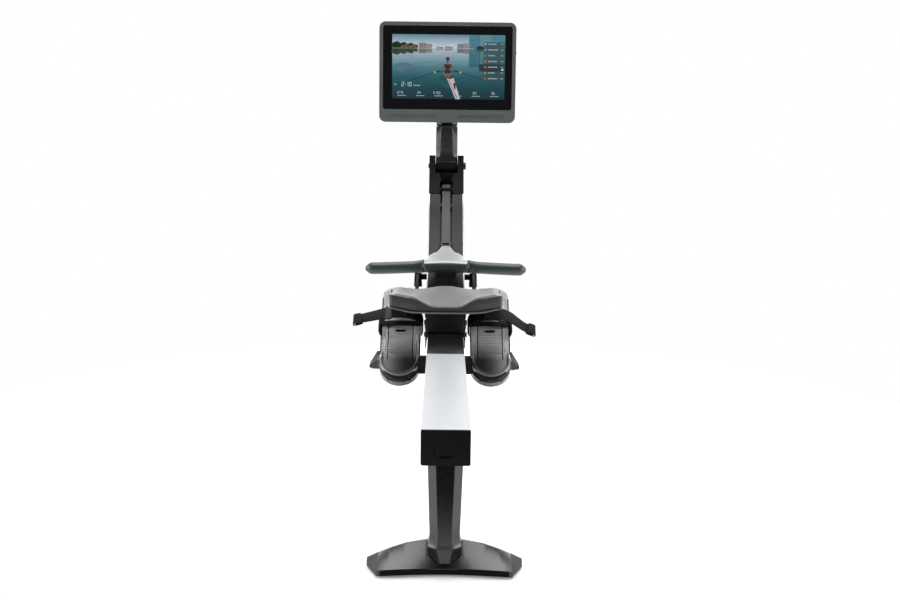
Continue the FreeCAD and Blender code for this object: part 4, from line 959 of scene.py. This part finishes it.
def stroke(start, end, width, colour, level):
    """Adds a straight line; its width is a share of the picture's height."""
    run = Vector(((end[0] - start[0]) / picture_ratio, end[1] - start[1])).normalized()
    a = -run.y * width / 2 * picture_ratio
    b = run.x * width / 2
    shape([(start[0] - a, start[1] - b), (end[0] - a, end[1] - b), (end[0] + a, end[1] + b),
           (start[0] + a, start[1] + b)], colour, level)


def digit(number, u, v, height, colour, level):
    """Adds a seven-bar numeral and says where the next one starts."""
    wide = height * 0.52 * picture_ratio
    lit = ("abcdef", "bc", "abged", "abgcd", "fgbc", "afgcd", "afgedc", "abc", "abcdefg", "abcdfg")
    bars = {
        "a": ((0, 1), (1, 1)), "b": ((1, 1), (1, 0.5)), "c": ((1, 0.5), (1, 0)), "d": ((0, 0), (1, 0)),
        "e": ((0, 0.5), (0, 0)), "f": ((0, 1), (0, 0.5)), "g": ((0, 0.5), (1, 0.5)),
    }
    for key in lit[number]:
        start, end = [(u + x * wide, v + y * height) for x, y in bars[key]]
        stroke(start, end, height * 0.13, colour, level)
    return u + wide + height * 0.3 * picture_ratio


def number(digits, u, v, height, colour, level):
    for character in digits:
        if character == ":":
            for share in (0.3, 0.7):
                disc(u + height * 0.05, v + share * height, height * 0.08, colour, level, 6)
            u += height * 0.16
        else:
            u = digit(int(character), u, v, height, colour, level)


def shaded(colour, share, lift=0.0):
    return tuple(c * share + lift for c in colour)


def draw_shore():
    """Sky, far shore with trees and blocks of flats, and their images in the water."""
    horizon = 0.785
    sky = [(0.86, 0.92, 0.94), (0.46, 0.64, 0.74), (0.16, 0.32, 0.43)]
    bands(0, 1, [horizon, 0.9, 1.0], sky, 0)
    water = [(0.004, 0.035, 0.05), (0.006, 0.075, 0.09), (0.02, 0.14, 0.17), (0.10, 0.27, 0.34),
             (0.32, 0.50, 0.60), (0.62, 0.73, 0.79)]
    bands(0, 1, [0, 0.16, 0.34, 0.5, 0.64, horizon], water, 0)
    for u, v, wide, tall, colour in ((0.1, 0.50, 0.16, 0.06, (0.11, 0.25, 0.31)),
                                     (0.17, 0.44, 0.14, 0.035, (0.07, 0.20, 0.25)),
                                     (0.33, 0.55, 0.14, 0.03, (0.17, 0.35, 0.43))):
        disc(u, v, wide, colour, 1, 20, tall / wide)
    blocks = ((0.235, 0.30, 0.085, (0.30, 0.27, 0.27)), (0.30, 0.352, 0.07, (0.38, 0.33, 0.31)),
              (0.39, 0.42, 0.03, (0.42, 0.40, 0.40)), (0.42, 0.45, 0.022, (0.30, 0.30, 0.31)),
              (0.465, 0.51, 0.034, (0.42, 0.38, 0.36)), (0.51, 0.535, 0.026, (0.30, 0.29, 0.29)),
              (0.575, 0.63, 0.075, (0.26, 0.29, 0.33)), (0.63, 0.69, 0.085, (0.33, 0.35, 0.38)),
              (0.68, 0.78, 0.215, (0.08, 0.26, 0.33)), (0.775, 0.88, 0.215, (0.13, 0.34, 0.40)),
              (0.875, 1.0, 0.215, (0.09, 0.29, 0.36)))
    for u0, u1, tall, colour in blocks:
        top = min(horizon + tall, 1.0)
        image = shaded(colour, 0.75, 0.02)
        bar(u0, horizon, u1, top, colour, 1)
        depth = tall * (1.35 if tall > 0.2 else 0.9)
        shape([(u0, horizon - depth), (u1, horizon - depth), (u1, horizon), (u0, horizon)],
              [(0.03, 0.18, 0.22)] * 2 + [image] * 2 if tall > 0.2 else image, 1)
        windows = int((u1 - u0) / 0.012)
        for i in range(windows):
            u = u0 + 0.006 + i * (u1 - u0 - 0.006) / windows
            shade = tuple(min(c * (1.45 + 0.25 * sin(i * 2.4 + 0.7)), 1) for c in colour)
            bar(u, horizon + 0.004, u + 0.004, top - 0.006, shade, 2)
            if tall > 0.2:
                bar(u, horizon - depth * 0.8, u + 0.003, horizon - 0.01, shaded(shade, 0.8), 2)
        for i in range(int(tall / 0.022)):
            v = horizon + 0.012 + i * 0.022
            bar(u0, v, u1, v + 0.004, shaded(colour, 0.7), 3)
    trees = [(0.02 + 0.021 * i, 0.055 - 0.0022 * i + 0.012 * sin(i * 2.1), 1.0) for i in range(10)]
    trees += [(0.76 + 0.018 * i, 0.026 + 0.006 * sin(i * 1.9), 0.8) for i in range(11)]
    for i, (u, size, rise) in enumerate(trees):
        green = (0.016 + 0.012 * sin(i * 1.3) ** 2, 0.04 + 0.02 * sin(i * 2.7) ** 2, 0.018)
        disc(u, horizon + size * 0.7 * rise, size, green, 4, 9)
        disc(u, horizon - size * 0.75, size * 0.95, shaded(green, 1.5, 0.02), 2, 9)
    for i in range(7):
        u = 0.075 + 0.021 * i
        bar(u, horizon + 0.006 + 0.012 * (i % 2), u + 0.016, horizon + 0.036 + 0.01 * (i % 3),
            (0.24, 0.15, 0.12), 5)
    bar(0, horizon - 0.006, 0.22, horizon + 0.006, (0.30, 0.28, 0.24), 5)
    bar(0.22, horizon - 0.004, 0.72, horizon + 0.004, (0.62, 0.62, 0.60), 3)


def draw_boat():
    """Small boat seen from its bow end, with a plain figure at the oars."""
    hull = (0.78, 0.76, 0.80)
    shade = (0.02, 0.13, 0.13)
    for u, v, wide in ((0.47, 0.29, 0.10), (0.50, 0.22, 0.09), (0.455, 0.33, 0.07)):
        disc(u, v, wide, shade, 3, 12, 0.55)
    stroke((0.37, 0.265), (0.455, 0.37), 0.02, shade, 4)
    stroke((0.60, 0.285), (0.53, 0.37), 0.018, shade, 4)
    stroke((0.17, 0.262), (0.40, 0.25), 0.008, shade, 4)
    stroke((0.60, 0.285), (0.78, 0.305), 0.008, shade, 4)
    shape([(0.485, 0.33), (0.545, 0.33), (0.605, 0.0), (0.565, 0.0)], hull, 5)
    stroke((0.503, 0.31), (0.581, 0.005), 0.012, (0.50, 0.14, 0.30), 6)
    shape([(0.48, 0.36), (0.54, 0.36), (0.532, 0.315), (0.495, 0.315)], (0.03, 0.03, 0.035), 6)
    shape([(0.541, 0.25), (0.562, 0.25), (0.566, 0.16), (0.552, 0.16)], (0.025, 0.03, 0.04), 6)
    dark = (0.02, 0.025, 0.03)
    stroke((0.375, 0.425), (0.61, 0.425), 0.012, dark, 5)
    stroke((0.135, 0.27), (0.43, 0.45), 0.010, dark, 6)
    stroke((0.795, 0.31), (0.545, 0.45), 0.010, dark, 6)
    for u in (0.378, 0.607):
        disc(u, 0.418, 0.016, (0.62, 0.66, 0.06), 7, 8)
    skin = (0.30, 0.135, 0.085)
    for side in (-1, 1):
        shape([(0.492, 0.40), (0.492 + side * 0.036, 0.40), (0.492 + side * 0.026, 0.34),
               (0.492 + side * 0.004, 0.335)], skin, 7)
        stroke((0.492 + side * 0.030, 0.535), (0.492 + side * 0.046, 0.475), 0.030, skin, 8)
        stroke((0.492 + side * 0.046, 0.475), (0.492 + side * 0.012, 0.468), 0.024, skin, 8)
    shape([(0.462, 0.545), (0.522, 0.545), (0.516, 0.40), (0.468, 0.40)], (0.02, 0.03, 0.05), 7)
    bar(0.484, 0.535, 0.50, 0.59, skin, 8)
    disc(0.492, 0.61, 0.030, skin, 9, 16, 1.2)
    disc(0.492, 0.63, 0.031, (0.03, 0.02, 0.018), 9, 16, 0.8)
    for side in (-1, 1):
        disc(0.492 + side * 0.006, 0.612, 0.004, (0.02, 0.015, 0.015), 10, 6)
    bar(0.4905, 0.602, 0.4935, 0.609, (0.22, 0.095, 0.06), 10)
    bar(0.487, 0.594, 0.497, 0.597, (0.16, 0.05, 0.04), 10)


def draw_readings():
    """Numbers and plain bars over the scene, as on any exercise screen."""
    white = (0.80, 0.84, 0.86)
    soft = (0.42, 0.52, 0.56)
    number("2:10", 0.085, 0.195, 0.062, white, 8)
    bar(0.19, 0.20, 0.25, 0.216, soft, 8)
    disc(0.028, 0.22, 0.016, soft, 8, 10)
    for i, digits in enumerate(("1275", "24", "3150", "118", "64", "96")):
        u = 0.085 + 0.165 * i
        number(digits, u - 0.012 * len(digits), 0.078, 0.036, white, 8)
        bar(u - 0.038, 0.042, u + 0.038, 0.054, soft, 8)
    board = [(0.03, 0.10, 0.12), (0.045, 0.13, 0.15), (0.06, 0.14, 0.16)]
    bands(0.81, 0.998, [0.255, 0.55, 0.89], board, 6)
    bar(0.77, 0.435, 0.998, 0.545, (0.02, 0.05, 0.06), 7)
    tints = ((0.55, 0.60, 0.62), (0.25, 0.38, 0.60), (0.14, 0.26, 0.42), (0.60, 0.20, 0.18),
             (0.55, 0.22, 0.12), (0.55, 0.36, 0.10), (0.50, 0.14, 0.06))
    for i, tint in enumerate(tints):
        v = 0.86 - 0.089 * i
        disc(0.826, v, 0.018, tint, 8, 10)
        wide = 0.075 + 0.015 * sin(i * 2.2)
        bar(0.85, v - 0.008, 0.85 + wide, v + 0.008, (0.46, 0.55, 0.57), 8)
        bar(0.962, v - 0.007, 0.985, v + 0.007, soft, 8)
    disc(0.978, 0.465, 0.018, white, 9, 12)


def make_picture():
    """The lit picture on the screen, and the black ring that fills the gap round the glass."""
    low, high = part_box("display_glass")
    middle = (low + high) / 2
    left = middle.x + (3 - picture_width / 2) * mm
    bottom = middle.z + (3.2 - picture_height / 2) * mm
    face = low.y - 0.06 * mm
    draw_shore()
    draw_boat()
    draw_readings()
    points, faces, colours = [], [], []
    for outline, tones, level in shapes:
        faces.append(tuple(range(len(points), len(points) + len(outline))))
        points += [Vector((left + u * picture_width * mm, face - level * 0.05 * mm,
                           bottom + v * picture_height * mm)) for u, v in outline]
        colours += [(*tone, 1.0) for tone in tones]
    picture = mesh_object("screen_picture", points, faces)
    tint = picture.data.color_attributes.new("tint", "FLOAT_COLOR", "POINT")
    for point, colour in zip(tint.data, colours):
        point.color = colour
    dress(picture, "lit_picture", "display", "screen_glass")
    outline = rounded_section(high.z - low.z + 6 * mm, high.x - low.x + 6 * mm, 8 * mm, 3)
    gasket = prism("screen_gasket", outline, (high.y, high.y + 3 * mm),
                   lambda a, b, y: Vector((middle.x + b, y, middle.z + a)))
    dress(gasket, "black_plastic", "display", "display_housing")


def make_arm():
    """Arm with slanting side facets that run out above its lower end."""
    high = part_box("display_arm")[1]
    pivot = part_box("arm_pivot_bolt")
    pivot_y = (pivot[0].y + pivot[1].y) / 2
    pivot_z = (pivot[0].z + pivot[1].z) / 2
    stations = (
        (pivot_z + 0.013, pivot_y - 0.0185, pivot_y + 0.020, 0.0325, 0.0318),
        (pivot_z + 0.020, pivot_y - 0.0165, pivot_y + 0.022, 0.0335, 0.029),
        (pivot_z + 0.028, pivot_y - 0.0145, pivot_y + 0.024, 0.034, 0.0235),
        (pivot_z + 0.037, pivot_y - 0.012, pivot_y + 0.0265, 0.034, 0.0195),
        (pivot_z + 0.048, pivot_y - 0.008, pivot_y + 0.030, 0.034, 0.0178),
        (0.740, 0.846, 0.882, 0.034, 0.0175),
        (0.769, 0.852, 0.928, 0.034, 0.0175),
        (0.775, 0.904, high.y, 0.034, 0.0175),
        (high.z, high.y - 0.029, high.y - 0.001, 0.028, 0.0155),
    )
    rings = []
    for z, near, far, half, face in stations:
        deep = (far - near) * 0.3
        outline = [(-face, near), (face, near), (half, near + deep), (half, far - deep / 2), (face, far),
                   (-face, far), (-half, far - deep / 2), (-half, near + deep)]
        rings.append([Vector((x, y, z)) for x, y in outline])
    arm = loft("display_arm_casting", rings)
    soften(arm, 1.3, 2, 25)
    dress(arm, "arm_casting", "display_arm", "arm_metal", "display_arm")
    rings = []
    for x in (-0.034, -0.0335, 0.0335, 0.034):
        radius = 0.019 if abs(x) < 0.034 else 0.0185
        rings.append([Vector((x, pivot_y + radius * c, pivot_z + radius * s)) for c, s in circle(40)])
    barrel = loft("display_arm_barrel", rings)
    soften(barrel, 0.6, 2, 50)
    dress(barrel, "fork_casting", "display_arm", "arm_metal")
    outline = rounded_section(0.062, 0.0027, 0.5 * mm, 3)
    lip = prism("display_arm_lip", outline, (pivot_z + 0.0115, pivot_z + 0.0135),
                lambda a, b, z: Vector((a, pivot_y - 0.01785 + b, z)))
    dress(lip, "bright_steel", "display_arm", "arm_metal")
    screw_z = pivot_z + 0.064
    screw_y = pivot_y - 0.0015
    rings = []
    for depth, radius in ((2.0, 3.6), (-0.6, 3.6), (-1.4, 2.9), (-1.4, 1.6), (0.2, 1.4)):
        rings.append([Vector((radius * mm * c, screw_y + depth * mm, screw_z + radius * mm * s))
                      for c, s in circle(20)])
    screw = loft("display_arm_screw", rings)
    dress(screw, "black_oxide", "display_arm", "bright_steel")


# ---- the whole machine ----
for make in (make_camera, make_studio, make_floor, make_finishes, soften_nodes, make_cushion, make_tray,
             make_handle, make_webbing, make_skirt, make_picture, make_arm):
    make()
for direction, hand in ((1, "right"), (-1, "left")):
    for make in (make_toe_block, make_panel, make_cup, make_edging, make_relief, make_strap):
        make(direction, hand)
